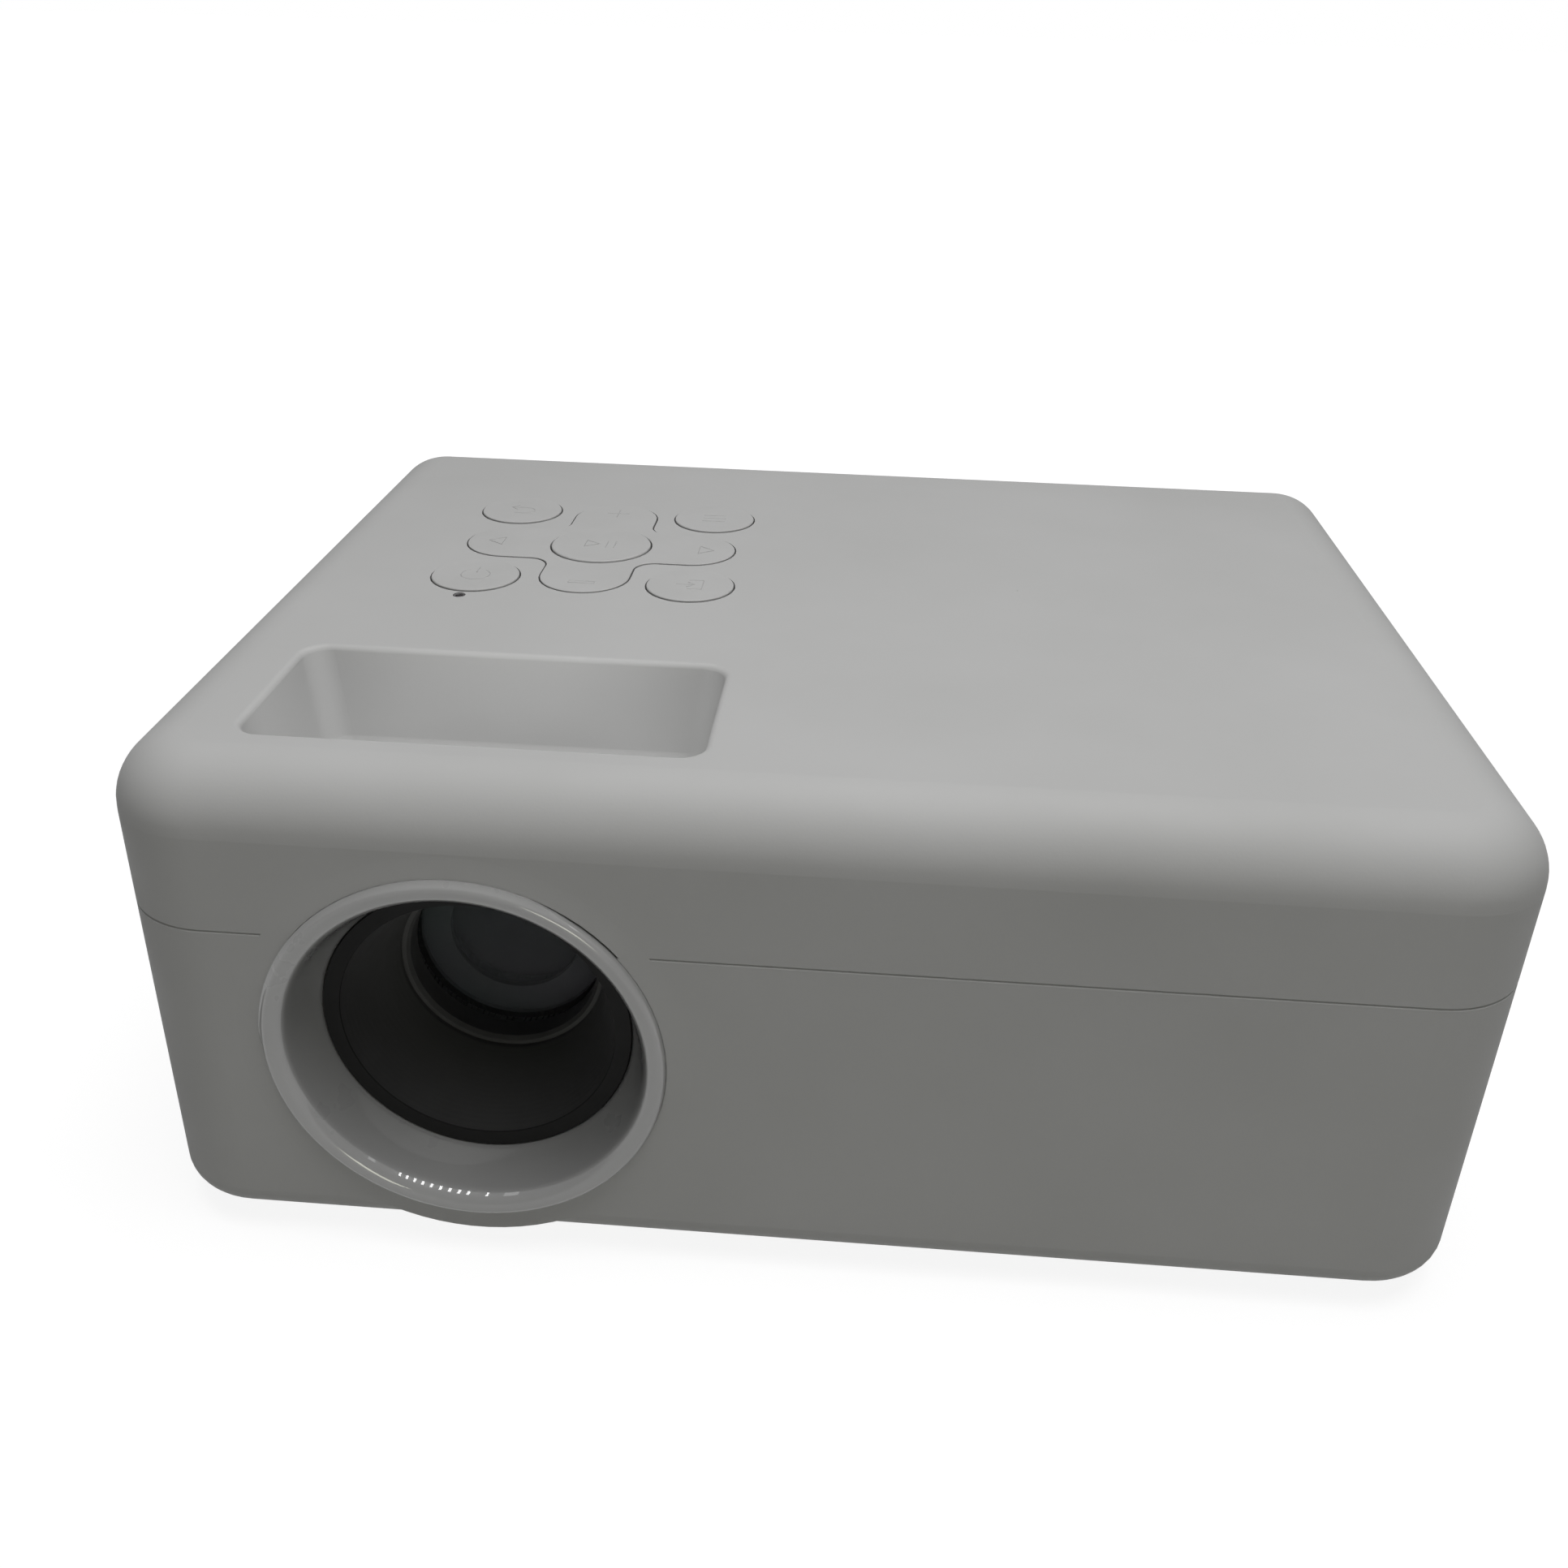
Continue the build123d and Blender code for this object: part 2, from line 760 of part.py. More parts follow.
    # Exhaust grille, socket panel and mains inlet at the rear.
    with BuildSketch(Plane.XZ.offset(-rear_y - cut)):
        with Locations((lens_x, fan_z)):
            with GridLocations(slot_pitch, 0, exhaust_count, 1):
                SlotOverall(exhaust_len, slot_width, rotation=90)
        with Locations((panel_x, main_board_z + board_t + hdmi_h / 2)):
            RectangleRounded(panel_wide, panel_high, panel_corner_r)
        with Locations((inlet_x, inlet_z)):
            RectangleRounded(inlet_w, inlet_h, inlet_corner_r)
    extrude(amount=wall + 2 * cut, mode=Mode.SUBTRACT)
save(lower_shell.part, "lower_shell")

# ---- Upper shell: moulded lid with the finger well, key openings and screw bosses ----
with BuildPart() as lid_blank:
    with BuildSketch(Plane.XY.offset(seam_z)):
        add(body_outline(0))
    extrude(amount=body_h - seam_h)
    fillet(lid_blank.faces().sort_by(Axis.Z)[-1].edges(), top_r)
    chamfer(lid_blank.faces().sort_by(Axis.Z)[0].edges(), seam_bevel)

with BuildPart() as lid_bosses:
    with BuildSketch(Plane.XY.offset(seam_z)):
        with Locations(*screw_points):
            Circle(boss_r)
    extrude(amount=body_h - seam_h)
    add(lid_blank.part, mode=Mode.INTERSECT)

with BuildPart() as upper_shell:
    add(lid_blank.part)
    add(upper_collar.part)
    add(hollow.part, mode=Mode.SUBTRACT)
    add(lid_bosses.part)
    with BuildSketch(Plane.XY.offset(seam_z)):
        with Locations(*screw_points):
            Circle(screw_r)
    extrude(amount=screw_bite + pilot_extra, mode=Mode.SUBTRACT)
    with BuildSketch(Plane.XY.offset(keyboard_z + keyboard_t)):
        with Locations(*keyboard_posts):
            Circle(keyboard_post_r)
    extrude(amount=keyboard_drop + wall / 2)
    add(well_block.part)
    add(well_space.part, mode=Mode.SUBTRACT)
    rim = upper_shell.edges().filter_by_position(Axis.Z, top_z - cut, top_z + cut)
    rim = rim.filter_by_position(Axis.X, well_x - well_w / 2 - cut, well_x + well_w / 2 + cut)
    rim = rim.filter_by_position(Axis.Y, well_y - well_d / 2 - cut, well_y + well_d / 2 + cut)
    fillet(rim, well_rim_r)
    with BuildSketch(Plane.XY.offset(top_z - well_depth - well_wall - cut)):
        with Locations((lens_x, ring_y)):
            RectangleRounded(ring_slot_w, ring_slot_d, ring_slot_r)
    extrude(amount=well_wall + 2 * cut, mode=Mode.SUBTRACT)
    with BuildSketch(Plane.XZ.offset(-inner_front_y)):
        with Locations((lens_x, lens_z)):
            Circle(crest_r + bezel_gap_top)
    extrude(amount=wall + crest, mode=Mode.SUBTRACT)
    # Openings of the keys and the indicator.
    with BuildSketch(Plane.XY.offset(ceiling_z - cut)):
        with Locations(*key_points.values()):
            Circle(key_r + key_gap)
        with Locations((light_x, light_y)):
            Circle(light_r)
    extrude(amount=wall + 2 * cut, mode=Mode.SUBTRACT)
    with BuildSketch(Plane((pad_x, pad_y, ceiling_z - cut))) as pad_hole:
        dpad_outline(key_gap)
        fillet(pad_hole.vertices().sort_by_distance((0, 0))[:4], lobe_fillet - key_gap)
    extrude(amount=wall + 2 * cut, mode=Mode.SUBTRACT)
save(upper_shell.part, "upper_shell")

# ---- Lens bezel: glossy funnel that drops into the front of the lower shell ----
with BuildPart() as lens_bezel:
    with BuildSketch(lens_section):
        with BuildLine():
            Polyline(
                (front_y - crest + lip_round, crest_r),
                (inner_front_y, crest_r),
                (inner_front_y, crest_r + flange_grow),
                (inner_front_y + flange_t, crest_r + flange_grow),
                (inner_front_y + flange_t, crest_r - bezel_wall),
                (throat_y, throat_r + bezel_wall),
                (sleeve_front_y, throat_r + bezel_wall),
                (sleeve_front_y, throat_r),
                (throat_y, throat_r),
            )
            ThreePointArc(
                (throat_y, throat_r),
                ((throat_y + front_y - crest) / 2 + funnel_bow_y, (throat_r + mouth_r) / 2 + funnel_bow_r),
                (front_y - crest + lip_round, mouth_r),
            )
            ThreePointArc(
                (front_y - crest + lip_round, mouth_r),
                (front_y - crest, (mouth_r + crest_r) / 2),
                (front_y - crest + lip_round, crest_r),
            )
        make_face()
    revolve(axis=lens_axis)
    # Flat under the flange, where it clears the floor of the shell.
    with BuildSketch(Plane.XY.offset(foot_h)):
        with Locations((lens_x, inner_front_y + flange_t)):
            Rectangle(2 * collar_r, 2 * flange_t)
    extrude(amount=bottom_r, mode=Mode.SUBTRACT)
save(lens_bezel.part, "lens_bezel")

# ---- Lens sleeve: fixed tube that the barrel slides in, flanged onto the light box ----
sleeve_bore = barrel_r + slide_gap
sleeve_r = sleeve_bore + sleeve_wall
with BuildPart() as lens_sleeve:
    with BuildSketch(lens_section):
        with BuildLine():
            Polyline(
                (sleeve_front_y, sleeve_bore),
                (chamber_y, sleeve_bore),
                (chamber_y, sleeve_flange_r),
                (chamber_y - sleeve_flange_t, sleeve_flange_r),
                (chamber_y - sleeve_flange_t, sleeve_r),
                (sleeve_front_y, sleeve_r),
                close=True,
            )
        make_face()
    revolve(axis=lens_axis)
save(lens_sleeve.part, "lens_sleeve")

# ---- Focus ring: ribbed ring round the sleeve, turned by a finger through the well ----
with BuildPart() as focus_ring:
    with BuildSketch(Plane(origin=(lens_x, ring_y + ring_w / 2, lens_z), z_dir=(0, -1, 0))):
        Circle(ring_r)
        with PolarLocations((ring_r + ring_rib_r) / 2, ring_ribs):
            Rectangle(2 * (ring_rib_r - ring_r), ring_rib_w)
        Circle(ring_rib_r, mode=Mode.INTERSECT)
        Circle(sleeve_r + ring_gap, mode=Mode.SUBTRACT)
    extrude(amount=ring_w)
save(focus_ring.part, "focus_ring")

# ---- Lens barrel: black tube with a conical hood in front of the glass ----
hood_end_y = barrel_y + hood_len
front_glass_y = hood_end_y + retainer_seat + retainer_len
middle_glass_y = front_glass_y + front_glass_edge + glass_spacing
rear_glass_y = barrel_end_y - rear_glass_edge - rear_glass_inset
with BuildPart() as lens_barrel:
    with BuildSketch(lens_section):
        with BuildLine():
            Polyline(
                (barrel_y, hood_mouth_r),
                (barrel_y, barrel_r),
                (barrel_end_y, barrel_r),
                (barrel_end_y, rear_glass_r),
                (rear_glass_y, rear_glass_r),
                (rear_glass_y, rear_glass_r - glass_rim),
                (middle_glass_y + middle_glass_edge, rear_glass_r - glass_rim),
                (middle_glass_y + middle_glass_edge, middle_glass_r),
                (middle_glass_y, middle_glass_r),
                (middle_glass_y, middle_glass_r - glass_rim),
                (front_glass_y + front_glass_edge + front_glass_room, middle_glass_r - glass_rim),
                (front_glass_y + front_glass_edge + front_glass_room, retainer_r),
                (front_glass_y + front_glass_edge, retainer_r),
                (front_glass_y + front_glass_edge, hood_end_r),
                (hood_end_y, hood_end_r),
                close=True,
            )
        make_face()
        # Hollow between the outer tube and the hood.
        with BuildLine():
            Polyline(
                (barrel_y + 2 * barrel_wall, barrel_r - barrel_wall),
                (rear_glass_y - barrel_wall, barrel_r - barrel_wall),
                (rear_glass_y - barrel_wall, rear_glass_r + barrel_wall),
                (hood_end_y, hood_end_r + barrel_wall),
                close=True,
            )
        make_face(mode=Mode.SUBTRACT)
    revolve(axis=lens_axis)
save(lens_barrel.part, "lens_barrel")

# ---- Retaining ring in front of the glass ----
with BuildPart() as lens_retaining_ring:
    with BuildSketch(lens_section):
        with BuildLine():
            Polyline(
                (front_glass_y, hood_end_r),
                (front_glass_y, retainer_r),
                (front_glass_y - retainer_len + retainer_bevel_len, retainer_r),
                (front_glass_y - retainer_len, retainer_r + retainer_bevel),
                (front_glass_y - retainer_len, hood_end_r),
                close=True,
            )
        make_face()
    revolve(axis=lens_axis)
save(lens_retaining_ring.part, "lens_retaining_ring")


def dome(y, radius, bulge):
    """Middle and tip of the arc that a glass surface cuts on its half section, out to radius."""
    ball_r = (radius**2 + bulge**2) / (2 * bulge)
    half = asin(radius / ball_r) / 2
    return (y + bulge - ball_r * (1 - cos(half)), abs(ball_r) * sin(abs(half))), (y + bulge, 0)


def glass_profile(y, radius, edge, clear_r, front_bulge, rear_bulge):
    """Half section of a round lens element with flat rims; a negative bulge is a dish."""
    front_mid, front_tip = dome(y, clear_r, -front_bulge)
    rear_mid, rear_tip = dome(y + edge, clear_r, rear_bulge)
    ThreePointArc(front_tip, front_mid, (y, clear_r))
    Polyline((y, clear_r), (y, radius), (y + edge, radius), (y + edge, clear_r))
    ThreePointArc((y + edge, clear_r), rear_mid, rear_tip)
    Line(rear_tip, front_tip)


# ---- Glass elements ----
with BuildPart() as front_glass:
    with BuildSketch(lens_section):
        with BuildLine():
            glass_profile(
                front_glass_y,
                hood_end_r,
                front_glass_edge,
                retainer_r,
                front_glass_bulge,
                front_glass_back,
            )
        make_face()
    revolve(axis=lens_axis)
save(front_glass.part, "front_glass")

with BuildPart() as inner_glasses:
    with BuildSketch(lens_section):
        with BuildLine():
            glass_profile(
                middle_glass_y,
                middle_glass_r,
                middle_glass_edge,
                middle_glass_r - glass_rim,
                -middle_glass_dish,
                -middle_glass_dish,
            )
        make_face()
    revolve(axis=lens_axis)
    with BuildSketch(lens_section):
        with BuildLine():
            glass_profile(
                rear_glass_y,
                rear_glass_r,
                rear_glass_edge,
                rear_glass_r - glass_rim,
                rear_glass_bulge,
                rear_glass_back,
            )
        make_face()
    revolve(axis=lens_axis)
save(inner_glasses.part, "inner_glasses")

# ---- Light box: dark chamber between the lens and the picture panel ----
engine_plane = Plane(origin=(lens_x, chamber_y, lens_z), x_dir=(-1, 0, 0), z_dir=(0, 1, 0))
with BuildPart() as light_box:
    with BuildSketch(engine_plane):
        Rectangle(engine_w, engine_h)
    extrude(amount=chamber_len)
    with BuildSketch(engine_plane.offset(engine_wall)):
        Rectangle(engine_w - 2 * engine_wall, engine_h - 2 * engine_wall)
    extrude(amount=chamber_len - engine_wall, mode=Mode.SUBTRACT)
    with BuildSketch(engine_plane):
        Circle(exit_r)
    extrude(amount=engine_wall, mode=Mode.SUBTRACT)
save(light_box.part, "light_box")

# ---- Fresnel lenses: flat grooved plates before and behind the picture panel ----
with BuildPart() as fresnel_lenses:
    with BuildSketch(engine_plane.offset(chamber_len - fresnel_back)):
        Rectangle(engine_w - 2 * engine_wall, engine_h - 2 * engine_wall)
    extrude(amount=fresnel_t)
    with BuildSketch(engine_plane.offset(chamber_len + frame_t + fresnel_gap)):
        Rectangle(engine_w - 2 * engine_wall, engine_h - 2 * engine_wall)
    extrude(amount=fresnel_t)
save(fresnel_lenses.part, "fresnel_lenses")

# ---- Picture panel and its frame ----
with BuildPart() as lcd_frame:
    with BuildSketch(engine_plane.offset(chamber_len)):
        Rectangle(engine_w, engine_h)
        Rectangle(panel_w - 2 * panel_lap, panel_h - 2 * panel_lap, mode=Mode.SUBTRACT)
    extrude(amount=frame_t)
    with BuildSketch(engine_plane.offset(chamber_len + (frame_t - panel_t) / 2)):
        Rectangle(panel_w, panel_h)
    extrude(amount=frame_t, mode=Mode.SUBTRACT)
save(lcd_frame.part, "lcd_frame")

with BuildPart() as lcd_panel:
    with BuildSketch(engine_plane.offset(chamber_len + (frame_t - panel_t) / 2)):
        Rectangle(panel_w, panel_h)
    extrude(amount=panel_t)
save(lcd_panel.part, "lcd_panel")

# ---- Light tunnel: reflector that narrows towards the lamp ----
tunnel_plane = engine_plane.offset(tunnel_y - chamber_y)
end_plane = tunnel_plane.offset(tunnel_len)
with BuildPart() as light_tunnel:
    with BuildSketch(tunnel_plane):
        Rectangle(engine_w, engine_h)
    extrude(amount=tunnel_straight)
    with BuildSketch(tunnel_plane.offset(tunnel_straight)):
        Rectangle(engine_w, engine_h)
    with BuildSketch(end_plane):
        Rectangle(tunnel_end_w, tunnel_end_w)
    loft()
    with BuildSketch(tunnel_plane):
        Rectangle(engine_w - 2 * engine_wall, engine_h - 2 * engine_wall)
    extrude(amount=tunnel_straight, mode=Mode.SUBTRACT)
    with BuildSketch(tunnel_plane.offset(tunnel_straight)):
        Rectangle(engine_w - 2 * engine_wall, engine_h - 2 * engine_wall)
    with BuildSketch(end_plane.offset(-engine_wall)):
        Rectangle(tunnel_end_w - 2 * engine_wall, tunnel_end_w - 2 * engine_wall)
    loft(mode=Mode.SUBTRACT)
    with BuildSketch(end_plane):
        Circle(led_window_r)
    extrude(amount=-engine_wall, mode=Mode.SUBTRACT)
save(light_tunnel.part, "light_tunnel")

# ---- Condenser lens, lamp and heat sink behind the tunnel ----
condenser_y = tunnel_end_y - engine_wall - condenser_rim
condenser_mid, condenser_tip = dome(condenser_y, condenser_r, -condenser_bulge)
with BuildPart() as condenser_lens:
    with BuildSketch(lens_section):
        with BuildLine():
            ThreePointArc(condenser_tip, condenser_mid, (condenser_y, condenser_r))
            Polyline(
                (condenser_y, condenser_r),
                (condenser_y + condenser_rim, condenser_r),
                (condenser_y + condenser_rim, 0),
                condenser_tip,
            )
        make_face()
    revolve(axis=lens_axis)
save(condenser_lens.part, "condenser_lens")

with BuildPart() as led_module:
    with BuildSketch(end_plane):
        Rectangle(tunnel_end_w, tunnel_end_w)
    extrude(amount=led_board_t)
    with BuildSketch(end_plane.offset(-engine_wall + led_gap)):
        Circle(led_r)
    extrude(amount=engine_wall - led_gap)
save(led_module.part, "led_module")

with BuildPart() as heat_sink:
    with BuildSketch(Plane.XZ.offset(-sink_y)):
        with Locations((lens_x, fan_z)):
            Rectangle(sink_w, sink_w)
    extrude(amount=-sink_base)
    with BuildSketch(Plane.XZ.offset(-sink_y - sink_base)):
        with Locations((lens_x, fan_z)):
            with GridLocations((sink_w - fin_t) / (sink_fins - 1), 0, sink_fins, 1):
                Rectangle(fin_t, sink_w)
    extrude(amount=-(sink_len - sink_base))
save(heat_sink.part, "heat_sink")

# ---- Exhaust fan: square frame with a spider behind, and its rotor ----
fan_plane = Plane(origin=(lens_x, fan_y, fan_z), x_dir=(-1, 0, 0), z_dir=(0, 1, 0))
fan_axis_length = fan_t - spider_t - rotor_gap
with BuildPart() as fan_frame:
    with BuildSketch(fan_plane):
        RectangleRounded(fan_size, fan_size, fan_corner_r)
        Circle(fan_bore_r, mode=Mode.SUBTRACT)
    extrude(amount=fan_t)
    with BuildSketch(fan_plane.offset(fan_t - spider_t)):
        Circle(rotor_hub_r)
        with PolarLocations(0, 4, 45):
            with Locations((fan_bore_r / 2, 0)):
                Rectangle(fan_bore_r + spider_t, spider_arm)
    extrude(amount=spider_t)
    with BuildSketch(fan_plane.offset(fan_t - spider_t - fan_pin_len)):
        Circle(fan_pin_r)
    extrude(amount=fan_pin_len)
save(fan_frame.part, "fan_frame")

with BuildPart() as fan_rotor:
    with BuildSketch(fan_plane.offset(rotor_gap)):
        Circle(rotor_hub_r)
    extrude(amount=fan_axis_length - rotor_gap)
    with BuildSketch(fan_plane.offset(rotor_gap + blade_inset)):
        with PolarLocations(rotor_hub_r - blade_inset, fan_blades):
            with Locations(((fan_bore_r - rotor_tip_gap - rotor_hub_r + blade_inset) / 2, 0)):
                Rectangle(fan_bore_r - rotor_tip_gap - rotor_hub_r, blade_t, rotation=blade_pitch)
    extrude(amount=fan_axis_length - rotor_gap - 2 * blade_inset)
    with BuildSketch(fan_plane.offset(fan_t - spider_t - fan_pin_len - fan_pin_end_gap)):
        Circle(fan_pin_r + fan_pin_gap)
    extrude(amount=fan_pin_len + fan_pin_end_gap, mode=Mode.SUBTRACT)
save(fan_rotor.part, "fan_rotor")

# ---- Keys: round caps that hang on a flange under the lid ----
stem_z = keyboard_z + keyboard_t + switch_h + key_travel + key_play
for key_name, key_place in key_points.items():
    with BuildPart() as key:
        with BuildSketch(Plane.XY.offset(ceiling_z - key_play - key_flange_t)):
            with Locations(key_place):
                Circle(key_r + key_flange)
        extrude(amount=key_flange_t)
        with BuildSketch(Plane.XY.offset(ceiling_z - key_flange_t)):
            with Locations(key_place):
                Circle(key_r)
        extrude(amount=key_flange_t + wall + key_proud)
        fillet(key.faces().sort_by(Axis.Z)[-1].edges(), key_edge)
        with BuildSketch(Plane.XY.offset(stem_z)):
            with Locations(key_place):
                Circle(key_stem_r)
        extrude(until=Until.NEXT)
    save(key.part, key_name)

with BuildPart() as ok_key:
    with BuildSketch(Plane.XY.offset(ceiling_z + ok_lift)):
        with Locations((pad_x, pad_y)):
            Circle(ok_r)
    extrude(amount=wall - ok_lift + ok_proud)
    fillet(ok_key.faces().sort_by(Axis.Z)[-1].edges(), ok_edge)
    with BuildSketch(Plane.XY.offset(stem_z)):
        with Locations((pad_x, pad_y)):
            Circle(key_stem_r)
    extrude(until=Until.NEXT)
save(ok_key.part, "ok_key")

# ---- Direction pad: one cross-shaped rocker round the middle key, on its rubber seat ----
dpad_top_z = top_z + dpad_proud
seat_z = keyboard_z + keyboard_t + seat_lift
seat_top_z = seat_z + seat_h
with BuildPart() as dpad:
    with BuildSketch(Plane((pad_x, pad_y, dpad_top_z - dpad_plate_t))) as cross:
        dpad_outline(0)
        fillet(cross.vertices().sort_by_distance((0, 0))[:4], lobe_fillet)
        Circle(ok_r + key_gap, mode=Mode.SUBTRACT)
    extrude(amount=dpad_plate_t)
    fillet(dpad.faces().sort_by(Axis.Z)[-1].edges(), dpad_edge)
    with BuildSketch(Plane((pad_x, pad_y, seat_top_z + seat_lift))):
        Circle(seat_r)
        Circle(seat_hole_r, mode=Mode.SUBTRACT)
    extrude(amount=dpad_top_z - dpad_plate_t - seat_top_z - seat_lift)
    with BuildSketch(Plane.XY.offset(keyboard_z + keyboard_t + switch_h + key_travel + dpad_play)):
        with Locations(*lobe_points):
            Circle(key_stem_r)
    extrude(until=Until.NEXT)
save(dpad.part, "dpad")

with BuildPart() as dpad_seat:
    with BuildSketch(Plane((pad_x, pad_y, seat_z))):
        Circle(seat_r)
        Circle(seat_hole_r, mode=Mode.SUBTRACT)
    extrude(amount=seat_h)
    with BuildSketch(Plane((pad_x, pad_y, seat_z))):
        with GridLocations(seat_r + seat_hole_r, 0, 2, 1):
            Circle(nub_r)
    extrude(amount=nub_gap - seat_lift)
    with BuildSketch(Plane((pad_x, pad_y, seat_top_z))):
        with GridLocations(0, seat_r + seat_hole_r, 1, 2):
            Circle(nub_r)
    extrude(amount=seat_lift - nub_gap)
save(dpad_seat.part, "dpad_seat")

# ---- Keypad board, its switches and the indicator's light pipe ----
with BuildPart() as keypad_board:
    with BuildSketch(Plane.XY.offset(keyboard_z)):
        with Locations((pad_x, keyboard_y)):
            RectangleRounded(keyboard_w, keyboard_d, keyboard_corner_r)
    extrude(amount=keyboard_t)
save(keypad_board.part, "keypad_board")

with BuildPart() as keypad_switches:
    with BuildSketch(Plane.XY.offset(keyboard_z + keyboard_t)):
        with Locations(*key_points.values(), *lobe_points, (pad_x, pad_y)):
            RectangleRounded(switch_size, switch_size, switch_corner_r)
    extrude(amount=switch_h - plunger_h)
    with BuildSketch(Plane.XY.offset(keyboard_z + keyboard_t + switch_h - plunger_h)):
        with Locations(*key_points.values(), *lobe_points, (pad_x, pad_y)):
            Circle(switch_size / 4)
    extrude(amount=plunger_h)
save(keypad_switches.part, "keypad_switches")

with BuildPart() as light_pipe:
    with BuildSketch(Plane.XY.offset(keyboard_z + keyboard_t)):
        with Locations((light_x, light_y)):
            Circle(light_r)
    extrude(amount=top_z - keyboard_z - keyboard_t - light_recess)
save(light_pipe.part, "light_pipe")

# ---- Disc drive: sheet-metal case, open towards the slot ----
with BuildPart() as drive_case:
    with BuildSketch(Plane.XY.offset(drive_z)):
        with Locations((drive_x + drive_case_len / 2, drive_y)):
            Rectangle(drive_case_len, drive_case_w)
    extrude(amount=drive_h - sheet)
    with BuildSketch(Plane.XY.offset(case_floor_z)):
        with Locations((drive_x + sheet + drive_case_len / 2, drive_y)):
            Rectangle(drive_case_len, drive_case_w - 2 * sheet)
    extrude(amount=drive_h, mode=Mode.SUBTRACT)
save(drive_case.part, "drive_case")

with BuildPart() as drive_cover:
    with BuildSketch(Plane.XY.offset(case_roof_z)):
        with Locations((drive_x + drive_case_len / 2, drive_y)):
            Rectangle(drive_case_len, drive_case_w)
    extrude(amount=sheet)
save(drive_cover.part, "drive_cover")

with BuildPart() as drive_board:
    with BuildSketch(Plane.XY.offset(case_floor_z)):
        with Locations((drive_x + drive_board_x, drive_y)):
            Rectangle(drive_board_w, drive_case_w - 2 * drive_board_side)
    extrude(amount=drive_board_t)
save(drive_board.part, "drive_board")

# ---- Rails: thin steel runners that follow the tray half way ----
with BuildPart() as drive_rails:
    with BuildSketch(Plane.XY.offset(tray_z + rail_lift)):
        with Locations((drive_x + drive_case_len / 2, drive_y)):
            with GridLocations(0, drive_case_w - 2 * sheet - 2 * rail_gap - rail_t, 1, 2):
                Rectangle(drive_case_len - rail_short, rail_t)
    extrude(amount=rail_h)
save(drive_rails.part, "drive_rails")

# ---- Disc tray: moulded tray with the disc's recess and a window for the pickup ----
rod_ys = (drive_y - rod_half_gap, drive_y + rod_half_gap)
screw_line_y = drive_y + window_high - screw_motor_r - screw_side_gap
rod_x = hub_x - window_back - rod_bite
rod_len = window_back + window_ahead + 2 * rod_bite
with BuildPart() as disc_tray:
    with BuildSketch(Plane.XY.offset(tray_z)):
        with Locations(((tray_x + bezel_x) / 2, drive_y)):
            Rectangle(bezel_x - tray_x, tray_w)
    extrude(amount=tray_t)
    with BuildSketch(Plane.XY.offset(recess_z)):
        with Locations((hub_x, drive_y)):
            Circle(disc_r + disc_gap)
    extrude(amount=recess_d, mode=Mode.SUBTRACT)
    with BuildSketch(Plane.XY.offset(recess_z - inner_recess_d)):
        with Locations((hub_x, drive_y)):
            Circle(inner_recess_r)
    extrude(amount=inner_recess_d, mode=Mode.SUBTRACT)
    with BuildSketch(Plane.XY.offset(tray_z)):
        with Locations(
            (hub_x + (window_ahead - window_back) / 2, drive_y + (window_high - window_low) / 2)
        ):
            Rectangle(window_ahead + window_back, window_low + window_high)
    extrude(amount=tray_t, mode=Mode.SUBTRACT)
    with BuildSketch(Plane.YZ.offset(rod_x)):
        with Locations(*[(y, mech_z) for y in rod_ys]):
            Circle(rod_r)
    extrude(amount=rod_len, mode=Mode.SUBTRACT)
save(disc_tray.part, "disc_tray")

# ---- Tray bezel: the strip that closes the slot, with its eject button ----
button_y = drive_y - drive_case_w / 2 + eject_inset
with BuildPart() as tray_bezel:
    with BuildSketch(Plane.YZ.offset(bezel_x)):
        with Locations((drive_y, slot_z)):
            RectangleRounded(slot_w - 2 * tray_gap, slot_h - 2 * tray_gap, slot_r - tray_gap / 2)
    extrude(amount=tray_bezel_t)
    fillet(tray_bezel.faces().sort_by(Axis.X)[-1].edges(), tray_bezel_edge)
    with BuildSketch(Plane.YZ.offset(bezel_x)):
        with Locations((button_y, slot_z)):
            RectangleRounded(eject_w + 2 * eject_gap, eject_h + 2 * eject_gap, eject_hole_r)
    extrude(amount=tray_bezel_t, mode=Mode.SUBTRACT)
    with BuildSketch(Plane.YZ.offset(bezel_x)):
        with Locations((button_y, slot_z)):
            Rectangle(
                eject_w + 2 * eject_flange + 2 * eject_gap, eject_h + 2 * eject_flange + 2 * eject_gap
            )
    extrude(amount=eject_travel + eject_flange_t + eject_room, mode=Mode.SUBTRACT)
save(tray_bezel.part, "tray_bezel")

with BuildPart() as eject_button:
    with BuildSketch(Plane.YZ.offset(bezel_x + eject_travel + eject_back)):
        with Locations((button_y, slot_z)):
            Rectangle(eject_w + 2 * eject_flange, eject_h + 2 * eject_flange)
    extrude(amount=eject_flange_t)
    with BuildSketch(Plane.YZ.offset(bezel_x + eject_travel + eject_back)):
        with Locations((button_y, slot_z)):
            RectangleRounded(eject_w, eject_h, eject_corner_r)
    extrude(amount=tray_bezel_t + eject_proud - eject_travel - eject_back)
    fillet(eject_button.faces().sort_by(Axis.X)[-1].edges(), eject_edge)
save(eject_button.part, "eject_button")

